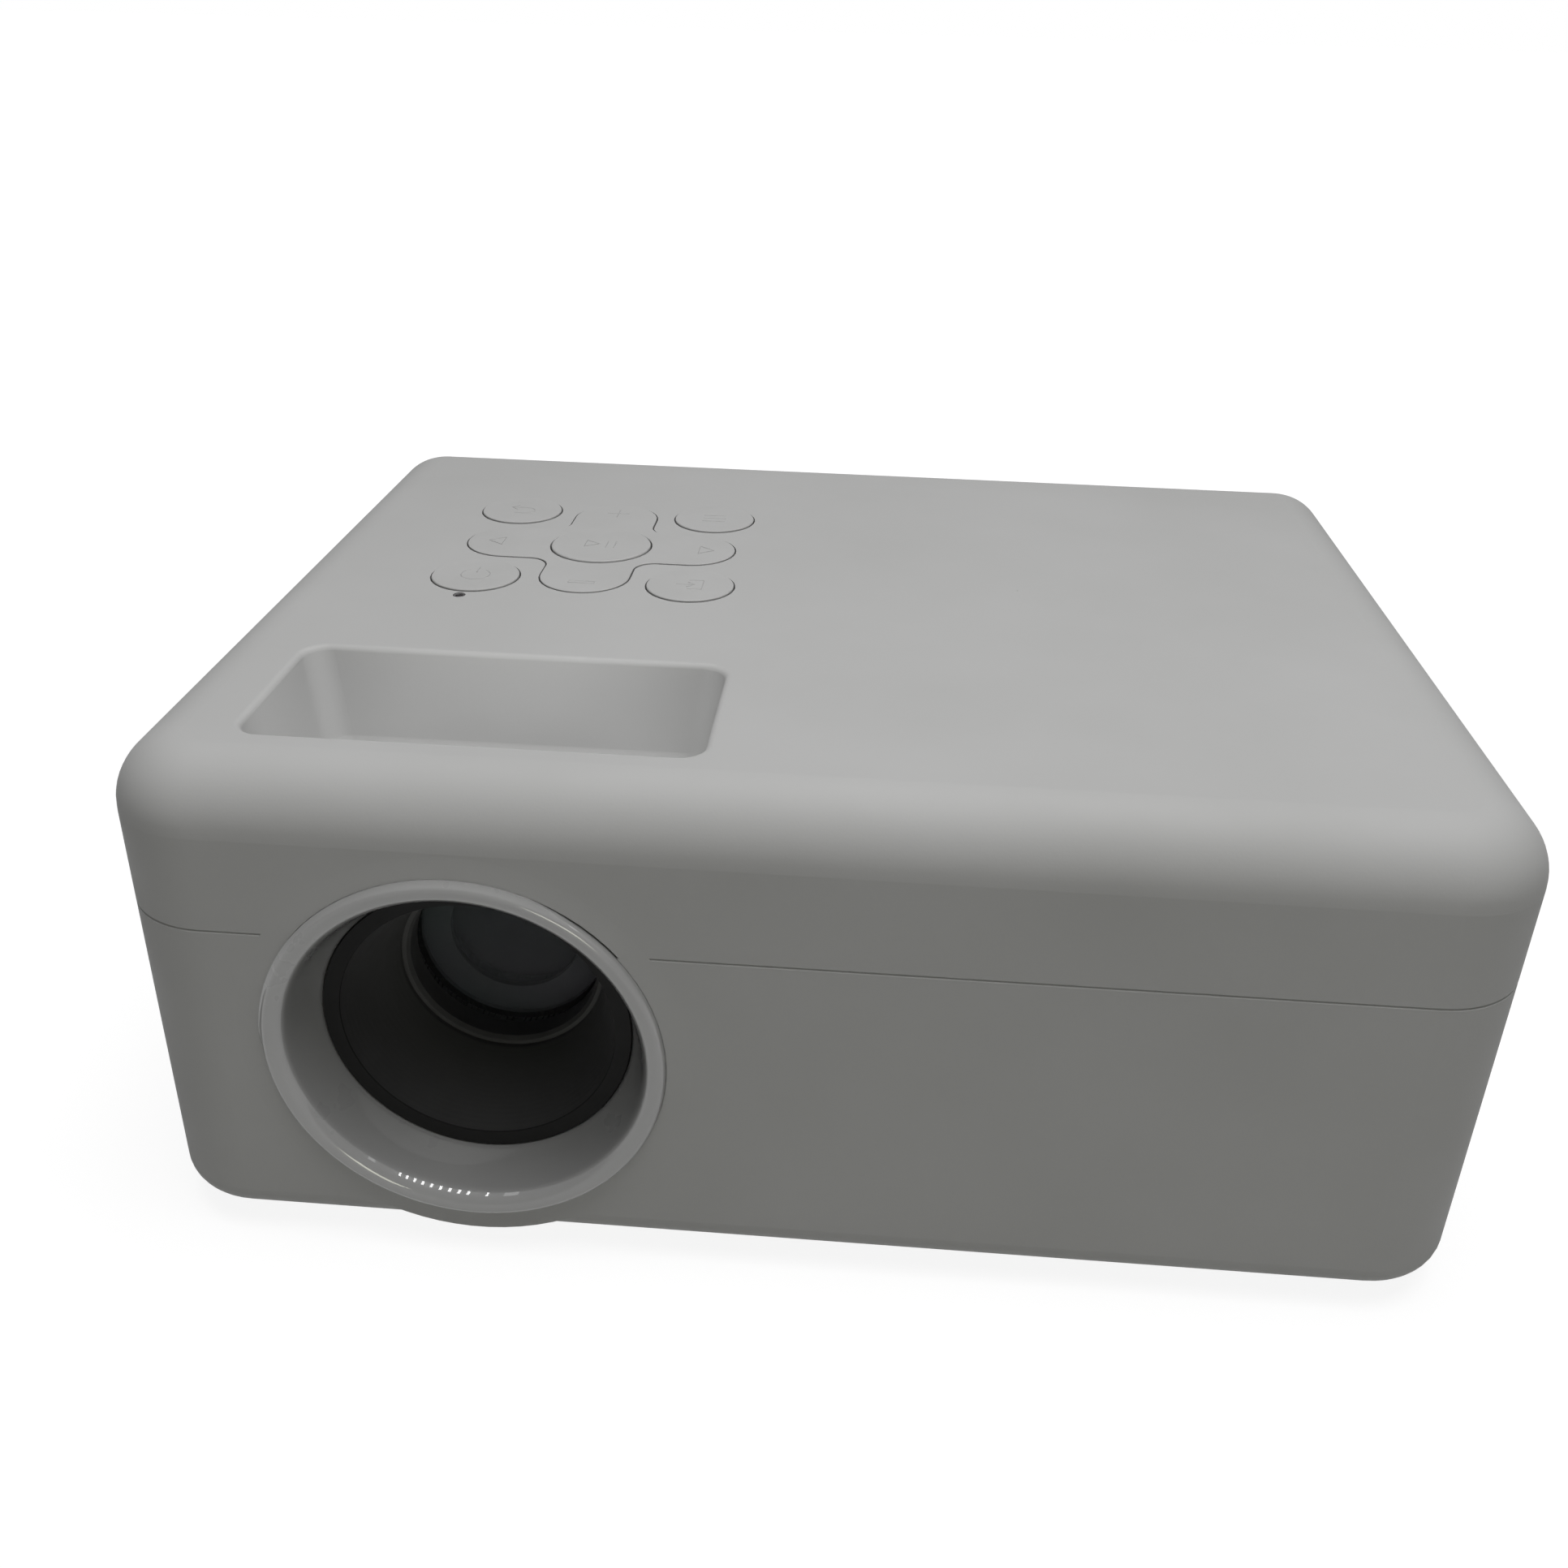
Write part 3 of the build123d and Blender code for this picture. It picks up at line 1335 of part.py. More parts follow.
# ---- Spindle motor, disc hub, pickup sled, rods, lead screw and its motor, all on the tray ----
hub_z = tray_z + motor_t + motor_plate_t + hub_lift
with BuildPart() as spindle_motor:
    with BuildSketch(Plane.XY.offset(tray_z)):
        with Locations((hub_x + motor_plate_shift, drive_y + (window_high - window_low) / 2)):
            Rectangle(motor_plate_w, window_low + window_high)
    extrude(amount=motor_plate_t)
    with BuildSketch(Plane.XY.offset(tray_z + motor_plate_t)):
        with Locations((hub_x, drive_y)):
            Circle(motor_r)
    extrude(amount=motor_t)
    with BuildSketch(Plane.XY.offset(tray_z)):
        with Locations((hub_x, drive_y)):
            Circle(hub_shaft_r + rod_gap)
    extrude(amount=motor_plate_t + motor_t, mode=Mode.SUBTRACT)
save(spindle_motor.part, "spindle_motor")

with BuildPart() as disc_hub:
    with BuildSketch(Plane.XY.offset(hub_z)):
        with Locations((hub_x, drive_y)):
            Circle(hub_r)
    extrude(amount=hub_t)
    with BuildSketch(Plane.XY.offset(hub_z + hub_t)):
        with Locations((hub_x, drive_y)):
            Circle(hub_nose_r)
    extrude(amount=hub_nose_h)
    fillet(disc_hub.faces().sort_by(Axis.Z)[-1].edges(), hub_edge)
    with BuildSketch(Plane.XY.offset(tray_z + hub_lift)):
        with Locations((hub_x, drive_y)):
            Circle(hub_shaft_r)
    extrude(until=Until.NEXT)
save(disc_hub.part, "disc_hub")

sled_x = hub_x + hub_r + hub_gap
nut_y = drive_y + rod_half_gap + nut_root
with BuildPart() as pickup_sled:
    with BuildSketch(Plane.XY.offset(mech_z - sled_t / 2)):
        with Locations((sled_x + sled_len / 2, drive_y)):
            RectangleRounded(sled_len, 2 * (rod_half_gap + sled_side), sled_corner_r)
        with Locations((sled_x + sled_len / 2, nut_y)):
            Rectangle(nut_w, 2 * (screw_line_y - nut_y - screw_drive_r - nut_gap))
    extrude(amount=sled_t)
    with BuildSketch(Plane.XY.offset(mech_z + sled_t / 2)):
        with Locations((sled_x + sled_len / 2, drive_y)):
            Circle(pickup_lens_r)
    extrude(amount=pickup_lens_h)
    with BuildSketch(Plane.YZ.offset(sled_x)):
        with Locations(*[(y, mech_z) for y in rod_ys]):
            Circle(rod_r + rod_gap)
    extrude(amount=sled_len, mode=Mode.SUBTRACT)
save(pickup_sled.part, "pickup_sled")

with BuildPart() as sled_rods:
    with BuildSketch(Plane.YZ.offset(rod_x)):
        with Locations(*[(y, mech_z) for y in rod_ys]):
            Circle(rod_r)
    extrude(amount=rod_len)
save(sled_rods.part, "sled_rods")

screw_motor_x = hub_x - window_back
screw_motor_end_x = screw_motor_x + screw_motor_len
with BuildPart() as sled_motor:
    with BuildSketch(Plane.YZ.offset(screw_motor_x)):
        with Locations((screw_line_y, mech_z)):
            Circle(screw_motor_r)
    extrude(amount=screw_motor_len)
    with BuildSketch(Plane.YZ.offset(screw_motor_end_x - screw_pin_bore)):
        with Locations((screw_line_y, mech_z)):
            Circle(screw_pin_r + rod_gap)
    extrude(amount=screw_pin_bore, mode=Mode.SUBTRACT)
save(sled_motor.part, "sled_motor")

with BuildPart() as lead_screw:
    with BuildSketch(Plane.YZ.offset(screw_motor_end_x + screw_end_gap)):
        with Locations((screw_line_y, mech_z)):
            Circle(screw_drive_r)
    extrude(amount=window_ahead + window_back - screw_motor_len - 2 * screw_end_gap)
    with BuildSketch(Plane.YZ.offset(screw_motor_end_x - screw_pin_in)):
        with Locations((screw_line_y, mech_z)):
            Circle(screw_pin_r)
    extrude(amount=screw_pin_len)
save(lead_screw.part, "lead_screw")

# ---- Main board on the rear posts and two standoffs over the drive ----
with BuildPart() as main_board:
    with BuildSketch(Plane.XY.offset(main_board_z)):
        with Locations((main_board_x, main_board_rear_y - main_board_d / 2)):
            RectangleRounded(main_board_w, main_board_d, board_corner_r)
    extrude(amount=board_t)
save(main_board.part, "main_board")

with BuildPart() as board_standoffs:
    with BuildSketch(Plane.XY.offset(drive_z + drive_h)):
        with Locations(*standoff_points):
            RegularPolygon(standoff_r, 6)
    extrude(amount=main_board_z - drive_z - drive_h)
save(board_standoffs.part, "board_standoffs")

processor_y = main_board_rear_y - processor_back
with BuildPart() as main_board_chips:
    with BuildSketch(Plane.XY.offset(main_board_z + board_t)):
        with Locations((main_board_x, processor_y)):
            Rectangle(processor_w, processor_w)
        with Locations((main_board_x + memory_x, processor_y - memory_gap)):
            Rectangle(memory_w, memory_d)
        with Locations((main_board_x + memory_x, processor_y + memory_gap)):
            Rectangle(memory_w, memory_d)
    extrude(amount=chip_t)
    with BuildSketch(Plane.XY.offset(main_board_z + board_t)):
        with Locations((main_board_x - can_x, processor_y)):
            with GridLocations(0, can_pitch, 1, 3):
                Circle(can_r)
    extrude(amount=can_h)
    with BuildSketch(Plane.XY.offset(main_board_z + board_t)):
        with Locations((main_board_x - choke_x, main_board_rear_y - choke_back)):
            Rectangle(choke_w, choke_w)
    extrude(amount=choke_h)
save(main_board_chips.part, "main_board_chips")

# ---- Power board on the floor, under the drive ----
with BuildPart() as power_board:
    with BuildSketch(Plane.XY.offset(power_board_z)):
        with Locations((main_board_x, body_y)):
            RectangleRounded(power_board_w, power_board_d, board_corner_r)
    extrude(amount=board_t)
save(power_board.part, "power_board")

with BuildPart() as power_board_parts:
    with BuildSketch(Plane.XY.offset(power_board_z + board_t)):
        with Locations((main_board_x, body_y)):
            Rectangle(transformer_w, transformer_d)
        with Locations((main_board_x - filter_x, body_y + filter_x)):
            Rectangle(filter_w, filter_d)
        with Locations((main_board_x + filter_x, body_y - filter_x)):
            Rectangle(filter_w, filter_d)
    extrude(amount=transformer_h)
    with BuildSketch(Plane.XY.offset(power_board_z + board_t)):
        with Locations((main_board_x + bulk_can_x, body_y + bulk_can_y)):
            Circle(bulk_can_r)
        with Locations((main_board_x - bulk_can_x, body_y - bulk_can_y)):
            Circle(bulk_can_r)
        with Locations((main_board_x, body_y - out_can_y)):
            with GridLocations(out_can_pitch, 0, 2, 1):
                Circle(out_can_r)
    extrude(amount=bulk_can_h)
save(power_board_parts.part, "power_board_parts")

# ---- Socket panel and the sockets on the rear edge of the main board ----
socket_z = main_board_z + board_t
panel_z = socket_z + hdmi_h / 2
panel_front_y = rear_y - panel_inset
jack_z = socket_z + jack_r + jack_lift
jack_places = [(x, jack_z) for x in jack_xs]
with BuildPart() as io_panel:
    with BuildSketch(Plane.XZ.offset(-inner_rear_y)):
        with Locations((panel_x, panel_z)):
            RectangleRounded(panel_wide, panel_high, panel_corner_r)
    extrude(amount=-(wall - panel_inset))
    with BuildSketch(Plane.XZ.offset(-inner_rear_y + panel_flange_t)):
        with Locations((panel_x, panel_z)):
            Rectangle(panel_wide + 2 * panel_flange, panel_high + 2 * panel_flange)
    extrude(amount=-panel_flange_t)
    with BuildSketch(Plane.XZ.offset(-inner_rear_y + panel_flange_t)):
        with Locations((panel_x, main_board_z + board_t / 2)):
            Rectangle(panel_wide + 3 * panel_flange, board_t + panel_slit_over)
    extrude(amount=-panel_slit_d, mode=Mode.SUBTRACT)
    with BuildSketch(Plane.XZ.offset(-rear_y)):
        with Locations((hdmi_x, socket_z + hdmi_h / 2)):
            RectangleRounded(
                hdmi_w + 2 * socket_gap, hdmi_h + 2 * socket_gap, hdmi_corner_r + socket_gap
            )
        with Locations((usb_x, socket_z + usb_h / 2)):
            RectangleRounded(usb_w + 2 * socket_gap, usb_h + 2 * socket_gap, usb_corner_r)
        with Locations(*jack_places):
            Circle(jack_r + socket_gap)
        with Locations((ir_x, panel_z)):
            Circle(ir_w / 2)
    extrude(amount=wall + panel_flange_t + cut, mode=Mode.SUBTRACT)
save(io_panel.part, "io_panel")

socket_back_y = panel_front_y - socket_len
with BuildPart() as hdmi_socket:
    with BuildSketch(Plane.XZ.offset(-socket_back_y)):
        with Locations((hdmi_x, socket_z + hdmi_h / 2)):
            RectangleRounded(hdmi_w, hdmi_h, hdmi_corner_r)
    extrude(amount=-socket_len)
    with BuildSketch(Plane.XZ.offset(-panel_front_y)):
        with Locations((hdmi_x, socket_z + hdmi_h / 2)):
            Rectangle(hdmi_w - 2 * socket_wall, hdmi_h - 2 * socket_wall)
    extrude(amount=socket_len - socket_bottom, mode=Mode.SUBTRACT)
    with BuildSketch(Plane.XZ.offset(-socket_back_y)):
        with Locations((hdmi_x, socket_z + hdmi_h / 2)):
            Rectangle(hdmi_w - 2 * hdmi_tongue_side, hdmi_tongue_t)
    extrude(amount=-(socket_len - tongue_short))
save(hdmi_socket.part, "hdmi_socket")

with BuildPart() as usb_socket:
    with BuildSketch(Plane.XZ.offset(-socket_back_y)):
        with Locations((usb_x, socket_z + usb_h / 2)):
            RectangleRounded(usb_w, usb_h, usb_corner_r)
    extrude(amount=-socket_len)
    with BuildSketch(Plane.XZ.offset(-panel_front_y)):
        with Locations((usb_x, socket_z + usb_h / 2)):
            Rectangle(usb_w - 2 * socket_wall, usb_h - 2 * socket_wall)
    extrude(amount=socket_len - socket_bottom, mode=Mode.SUBTRACT)
    with BuildSketch(Plane.XZ.offset(-socket_back_y)):
        with Locations((usb_x, socket_z + usb_h - socket_wall - usb_tongue_drop - usb_tongue_t / 2)):
            Rectangle(usb_w - 2 * usb_tongue_side, usb_tongue_t)
    extrude(amount=-(socket_len - tongue_short))
save(usb_socket.part, "usb_socket")

with BuildPart() as audio_jacks:
    with BuildSketch(Plane.XZ.offset(-socket_back_y)):
        with Locations(*jack_places):
            Rectangle(jack_body, 2 * (jack_r + jack_lift))
    extrude(amount=-(socket_len - wall - jack_nose))
    with BuildSketch(Plane.XZ.offset(-socket_back_y)):
        with Locations(*jack_places):
            Circle(jack_r)
    extrude(amount=-socket_len)
    with BuildSketch(Plane.XZ.offset(-panel_front_y)):
        with Locations(*jack_places):
            Circle(jack_bore_r)
    extrude(amount=jack_bore_len, mode=Mode.SUBTRACT)
save(audio_jacks.part, "audio_jacks")

with BuildPart() as ir_window:
    with BuildSketch(Plane.XZ.offset(-inner_rear_y)):
        with Locations((ir_x, panel_z)):
            Circle(ir_w / 2)
    extrude(amount=-(wall - panel_inset))
save(ir_window.part, "ir_window")

# ---- Mains inlet with its two pins ----
with BuildPart() as mains_inlet:
    with BuildSketch(Plane.XZ.offset(-inner_rear_y)):
        with Locations((inlet_x, inlet_z)):
            RectangleRounded(inlet_w, inlet_h, inlet_corner_r)
    extrude(amount=-(wall - panel_inset))
    with BuildSketch(Plane.XZ.offset(-inner_rear_y)):
        with Locations((inlet_x, inlet_z)):
            Rectangle(inlet_w + 2 * inlet_flange_side, inlet_h + 2 * inlet_flange_high)
    extrude(amount=inlet_flange_t)
    with BuildSketch(Plane.XZ.offset(-inner_rear_y)):
        with Locations((inlet_x, inlet_z)):
            RectangleRounded(inlet_body_w, inlet_body_h, inlet_corner_r)
    extrude(amount=inlet_len - wall)
    with BuildSketch(Plane.XZ.offset(-panel_front_y)):
        with Locations((inlet_x, inlet_z)):
            SlotOverall(inlet_hole_w, inlet_hole_h)
    extrude(amount=inlet_depth, mode=Mode.SUBTRACT)
    with BuildSketch(Plane.XZ.offset(-panel_front_y)):
        with Locations((inlet_x, inlet_z)):
            with GridLocations(pin_pitch, 0, 2, 1):
                Circle(pin_r)
    extrude(amount=inlet_len + wall, mode=Mode.SUBTRACT)
save(mains_inlet.part, "mains_inlet")

with BuildPart() as inlet_pins:
    with BuildSketch(Plane.XZ.offset(-panel_front_y + inlet_depth - pin_len)):
        with Locations((inlet_x, inlet_z)):
            with GridLocations(pin_pitch, 0, 2, 1):
                Circle(pin_r)
    extrude(amount=pin_len + pin_tail)
save(inlet_pins.part, "inlet_pins")

# ---- Speakers behind their grilles ----
speaker_back = Plane.YZ.offset(side_x - wall - speaker_t)
with BuildPart() as speakers:
    with BuildSketch(speaker_back):
        with Locations(*[(y, speaker_z) for y in speaker_ys]):
            RectangleRounded(
                speaker_w - 2 * speaker_can_side, speaker_h - 2 * speaker_can_high, speaker_can_r
            )
    extrude(amount=speaker_t)
    with BuildSketch(speaker_back.offset(speaker_t - speaker_rim)):
        with Locations(*[(y, speaker_z) for y in speaker_ys]):
            RectangleRounded(speaker_w, speaker_h, speaker_rim_r)
    extrude(amount=speaker_rim)
    with BuildSketch(speaker_back.offset(speaker_t - cone_depth)):
        with Locations(*[(y, speaker_z) for y in speaker_ys]):
            SlotOverall(cone_w, cone_h)
    extrude(amount=cone_depth, mode=Mode.SUBTRACT)
save(speakers.part, "speakers")

# ---- Feet, camera-thread insert, levelling foot and screws under the casing ----
with BuildPart() as rubber_feet:
    with BuildSketch(Plane.XY):
        with Locations(*foot_points):
            Circle(foot_r)
    extrude(amount=foot_h + foot_socket)
    chamfer(rubber_feet.faces().group_by(Axis.Z)[0].edges(), foot_edge)
save(rubber_feet.part, "rubber_feet")

with BuildPart() as tripod_insert:
    with BuildSketch(Plane.XY.offset(foot_h)):
        Circle(insert_r)
        Circle(tripod_r, mode=Mode.SUBTRACT)
    extrude(amount=tripod_depth)
save(tripod_insert.part, "tripod_insert")

wheel_z = foot_h - wheel_gap - wheel_t
with BuildPart() as leveling_wheel:
    with BuildSketch(Plane.XY.offset(wheel_z)):
        with Locations((level_x, level_y)):
            Circle(wheel_r)
            with PolarLocations(wheel_r, wheel_notches):
                Circle(wheel_notch_r, mode=Mode.SUBTRACT)
    extrude(amount=wheel_t)
    with BuildSketch(Plane.XY.offset(wheel_z)):
        with Locations((level_x, level_y)):
            Circle(wheel_neck_r)
    extrude(amount=wheel_t + wheel_gap + wheel_neck_h)
    with BuildSketch(Plane.XY.offset(wheel_z)):
        with Locations((level_x, level_y)):
            Circle(level_r + level_gap)
    extrude(amount=wheel_t + wheel_gap + wheel_neck_h, mode=Mode.SUBTRACT)
save(leveling_wheel.part, "leveling_wheel")

with BuildPart() as leveling_stud:
    with BuildSketch(Plane.XY.offset(floor_gap)):
        with Locations((level_x, level_y)):
            Circle(pad_r)
    extrude(amount=pad_t)
    with BuildSketch(Plane.XY.offset(floor_gap)):
        with Locations((level_x, level_y)):
            Circle(level_r)
    extrude(amount=floor_z + level_boss_h - floor_gap - level_short)
save(leveling_stud.part, "leveling_stud")

with BuildPart() as case_screws:
    with BuildSketch(Plane.XY.offset(screw_seat_z - screw_head_h)):
        with Locations(*screw_points):
            Circle(screw_head_r)
    extrude(amount=screw_head_h)
    with BuildSketch(Plane.XY.offset(screw_seat_z)):
        with Locations(*screw_points):
            Circle(screw_r)
    extrude(amount=screw_len)
    with BuildSketch(Plane.XY.offset(screw_seat_z - screw_head_h)):
        with Locations(*screw_points):
            Rectangle(cross_w, cross_t)
            Rectangle(cross_t, cross_w)
    extrude(amount=cross_depth, mode=Mode.SUBTRACT)
save(case_screws.part, "case_screws")
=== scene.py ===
from math import atan2, cos, degrees, pi, radians, sin

import bmesh
import bpy
from mathutils import Matrix, Vector


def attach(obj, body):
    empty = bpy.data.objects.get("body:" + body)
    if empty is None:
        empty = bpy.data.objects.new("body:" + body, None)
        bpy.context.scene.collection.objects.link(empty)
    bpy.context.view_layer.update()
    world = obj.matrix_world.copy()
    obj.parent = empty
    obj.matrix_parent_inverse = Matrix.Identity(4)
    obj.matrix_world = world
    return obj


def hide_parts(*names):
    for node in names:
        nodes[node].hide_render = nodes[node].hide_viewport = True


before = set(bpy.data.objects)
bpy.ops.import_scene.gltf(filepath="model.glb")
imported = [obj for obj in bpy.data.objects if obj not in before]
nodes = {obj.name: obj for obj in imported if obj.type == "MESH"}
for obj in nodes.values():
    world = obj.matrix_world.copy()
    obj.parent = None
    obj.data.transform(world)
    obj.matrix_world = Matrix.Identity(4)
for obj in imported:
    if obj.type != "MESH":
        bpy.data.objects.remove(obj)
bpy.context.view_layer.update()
mm = 0.001

# Camera. It looks down on the front from a little to the right of the lens, as the photograph does.
view_yaw, view_pitch, view_roll = radians(-3.812), radians(28.181), radians(1.431)
ahead = Vector((sin(view_yaw) * cos(view_pitch), cos(view_yaw) * cos(view_pitch), -sin(view_pitch)))
level_right = Vector((cos(view_yaw), -sin(view_yaw), 0))
level_up = level_right.cross(ahead)
view_right = cos(view_roll) * level_right + sin(view_roll) * level_up
view_up = cos(view_roll) * level_up - sin(view_roll) * level_right
camera = bpy.data.objects.new("camera", bpy.data.cameras.new("camera"))
camera.data.sensor_width = 36
camera.data.lens = 35.262
camera.data.clip_start = 0.02
turn = Matrix((view_right, view_up, -ahead)).transposed().to_4x4()
camera_place = Vector((10.48, -328.56, 232.58)) * mm
camera.matrix_world = Matrix.Translation(camera_place) @ turn
bpy.context.scene.collection.objects.link(camera)
bpy.context.scene.camera = camera

# Studio. A pale floor under a surround that the camera and glass see as white, gloss as half as
# bright, and that lights the object only weakly. A wide lamp hangs overhead, a faint one stands far in
# front, and a small one lights the well over the focus ring.
bpy.context.scene.view_settings.view_transform = "Standard"


def seen_directly(tree):
    """One for rays from the camera or through glass, half for rays from gloss, nought elsewhere."""
    path = tree.nodes.new("ShaderNodeLightPath")
    half = tree.nodes.new("ShaderNodeMath")
    half.operation = "MULTIPLY"
    half.inputs[1].default_value = 0.5
    tree.links.new(path.outputs["Is Glossy Ray"], half.inputs[0])
    seen = half.outputs[0]
    for ray in ("Is Camera Ray", "Is Transmission Ray"):
        either = tree.nodes.new("ShaderNodeMath")
        either.operation = "MAXIMUM"
        tree.links.new(seen, either.inputs[0])
        tree.links.new(path.outputs[ray], either.inputs[1])
        seen = either.outputs[0]
    return seen


surround = bpy.data.worlds.new("surround")
bpy.context.scene.world = surround
surround.use_nodes = True
tree = surround.node_tree
dim = tree.nodes["Background"]
dim.inputs["Color"].default_value = (1, 1, 1, 1)
dim.inputs["Strength"].default_value = 0.04
white = tree.nodes.new("ShaderNodeBackground")
white.inputs["Color"].default_value = (1, 1, 1, 1)
white.inputs["Strength"].default_value = 1.0
choose = tree.nodes.new("ShaderNodeMixShader")
tree.links.new(seen_directly(tree), choose.inputs[0])
tree.links.new(dim.outputs[0], choose.inputs[1])
tree.links.new(white.outputs[0], choose.inputs[2])
tree.links.new(choose.outputs[0], tree.nodes["World Output"].inputs["Surface"])


def mesh_object(name, bm):
    """Make the bmesh an object of the scene."""
    mesh = bpy.data.meshes.new(name)
    bm.to_mesh(mesh)
    bm.free()
    thing = bpy.data.objects.new(name, mesh)
    bpy.context.scene.collection.objects.link(thing)
    return thing


floor_half = 6000
floor_bm = bmesh.new()
bmesh.ops.create_grid(floor_bm, x_segments=1, y_segments=1, size=floor_half * mm)
floor = mesh_object("floor", floor_bm)
floor_paint = bpy.data.materials.new("floor_paint")
floor_paint.use_nodes = True
tree = floor_paint.node_tree
matt = tree.nodes["Principled BSDF"]
pale = tree.nodes.new("ShaderNodeMix")
pale.data_type = "RGBA"
pale.inputs["A"].default_value = (0.5, 0.5, 0.5, 1)
pale.inputs["B"].default_value = (0.9, 0.9, 0.9, 1)
tree.links.new(seen_directly(tree), pale.inputs["Factor"])
tree.links.new(pale.outputs["Result"], matt.inputs["Base Color"])
matt.inputs["Roughness"].default_value = 0.9
matt.inputs["Specular IOR Level"].default_value = 0.0

# The glow rises away from the object, so that only its own shadow stays on the white.
glow = tree.nodes.new("ShaderNodeEmission")
place = tree.nodes.new("ShaderNodeTexCoord")
away = tree.nodes.new("ShaderNodeVectorMath")
away.operation = "LENGTH"
fade = tree.nodes.new("ShaderNodeMapRange")
fade_start, fade_end = 250, 700
fade.inputs["From Min"].default_value = fade_start * mm
fade.inputs["From Max"].default_value = fade_end * mm
fade.inputs["To Min"].default_value = 1.12
fade.inputs["To Max"].default_value = 1.4
tree.links.new(place.outputs["Object"], away.inputs[0])
tree.links.new(away.outputs["Value"], fade.inputs["Value"])
tree.links.new(fade.outputs["Result"], glow.inputs["Strength"])
choose = tree.nodes.new("ShaderNodeMixShader")
share = tree.nodes.new("ShaderNodeMath")
share.operation = "MULTIPLY"
share.inputs[1].default_value = 0.8
tree.links.new(seen_directly(tree), share.inputs[0])
tree.links.new(share.outputs[0], choose.inputs[0])
tree.links.new(matt.outputs[0], choose.inputs[1])
tree.links.new(glow.outputs[0], choose.inputs[2])
tree.links.new(choose.outputs[0], tree.nodes["Material Output"].inputs["Surface"])
floor.data.materials.append(floor_paint)


def soft_light(name, place, aim, size, power, colour):
    """Square area light at a place, facing the point aim, in millimetres and watts."""
    data = bpy.data.lights.new(name, "AREA")
    data.size = size * mm
    data.energy = power
    data.color = colour
    light = bpy.data.objects.new(name, data)
    light.location = Vector(place) * mm
    light.rotation_euler = (Vector(aim) - Vector(place)).to_track_quat("-Z", "Y").to_euler()
    bpy.context.scene.collection.objects.link(light)
    return light


ceiling_light = soft_light("ceiling_light", (70, -130, 850), (20, -60, 100), 600, 6.1, (1, 1, 1))
ceiling_light.visible_glossy = False
soft_light("front_light", (250, -1500, 60), (0, -100, 60), 500, 2.4, (1, 1, 0.84))
well_light = soft_light("well_light", (-64, -82.2, 100), (-64, -43, 124), 60, 0.012, (1, 1, 1))
well_light.data.shape = "RECTANGLE"
well_light.data.size_y = 10 * mm
well_light.visible_camera = False

# Ceiling strips. A row of narrow bright panels between two wide faint ones, seen only in gloss, which
# the polished lens bezel mirrors as a comb of short dashes with a soft patch at either end.
strip_z, strip_y, strip_half = 800, 160, 540
first_strip, strip_step, strip_count = 350, 68, 9
bright_strips = [(first_strip - strip_step * i, 10) for i in range(strip_count)] + [(-340, 9)]
faint_strips = [(-560, 75), (720, 60)]


def glowing_panels(name, spots, strength):
    """Flat emitters across the ceiling at (place across, half width), seen in gloss alone."""
    bm = bmesh.new()
    for across, half in spots:
        signs = ((-1, -1), (1, -1), (1, 1), (-1, 1))
        corners = [(across + i * half, strip_y + j * strip_half) for i, j in signs]
        bm.faces.new([bm.verts.new(Vector((x, y, strip_z)) * mm) for x, y in corners])
    panels = mesh_object(name, bm)
    panels.visible_camera = False
    panels.visible_diffuse = False
    panels.visible_transmission = False
    panels.visible_shadow = False
    glow = bpy.data.materials.new(name)
    glow.use_nodes = True
    tree = glow.node_tree
    lamp = tree.nodes.new("ShaderNodeEmission")
    lamp.inputs["Strength"].default_value = strength
    tree.links.new(lamp.outputs[0], tree.nodes["Material Output"].inputs["Surface"])
    panels.data.materials.append(glow)


glowing_panels("bright_strips", bright_strips, 8)
glowing_panels("faint_strips", faint_strips, 1.6)

# Casing shells. Two mouldings of pale grey ABS with a fine spark-eroded texture, screwed together
# along the seam; years of handling have left faint mottling, specks and smoother patches.
casing_grey = (0.44, 0.44, 0.437)


def finish(name, colour, roughness, metallic=0.0, specular=0.5, coat=0.0, transmission=0.0, ior=1.5):
    """Start a material with the values that are even all over on the shader's own sockets."""
    mat = bpy.data.materials.new(name)
    mat.use_nodes = True
    shader = mat.node_tree.nodes["Principled BSDF"]
    shader.inputs["Base Color"].default_value = (*colour, 1)
    shader.inputs["Roughness"].default_value = roughness
    shader.inputs["Metallic"].default_value = metallic
    shader.inputs["Specular IOR Level"].default_value = specular
    shader.inputs["Coat Weight"].default_value = coat
    shader.inputs["Transmission Weight"].default_value = transmission
    shader.inputs["IOR"].default_value = ior
    mat.diffuse_color = (*colour, 1)
    return mat


def own_place(tree):
    """Where a point lies in the object's own space."""
    return tree.nodes.new("ShaderNodeTexCoord").outputs["Object"]


def cloud(mat, grain, detail=2.0, stretch=(1, 1, 1)):
    """Noise in the object's own space; grain is the size of its blotches in millimetres."""
    tree = mat.node_tree
    squeeze = tree.nodes.new("ShaderNodeMapping")
    squeeze.inputs["Scale"].default_value = stretch
    noise = tree.nodes.new("ShaderNodeTexNoise")
    noise.inputs["Scale"].default_value = 1 / (grain * mm)
    noise.inputs["Detail"].default_value = detail
    tree.links.new(own_place(tree), squeeze.inputs["Vector"])
    tree.links.new(squeeze.outputs["Vector"], noise.inputs["Vector"])
    return noise.outputs["Fac"]


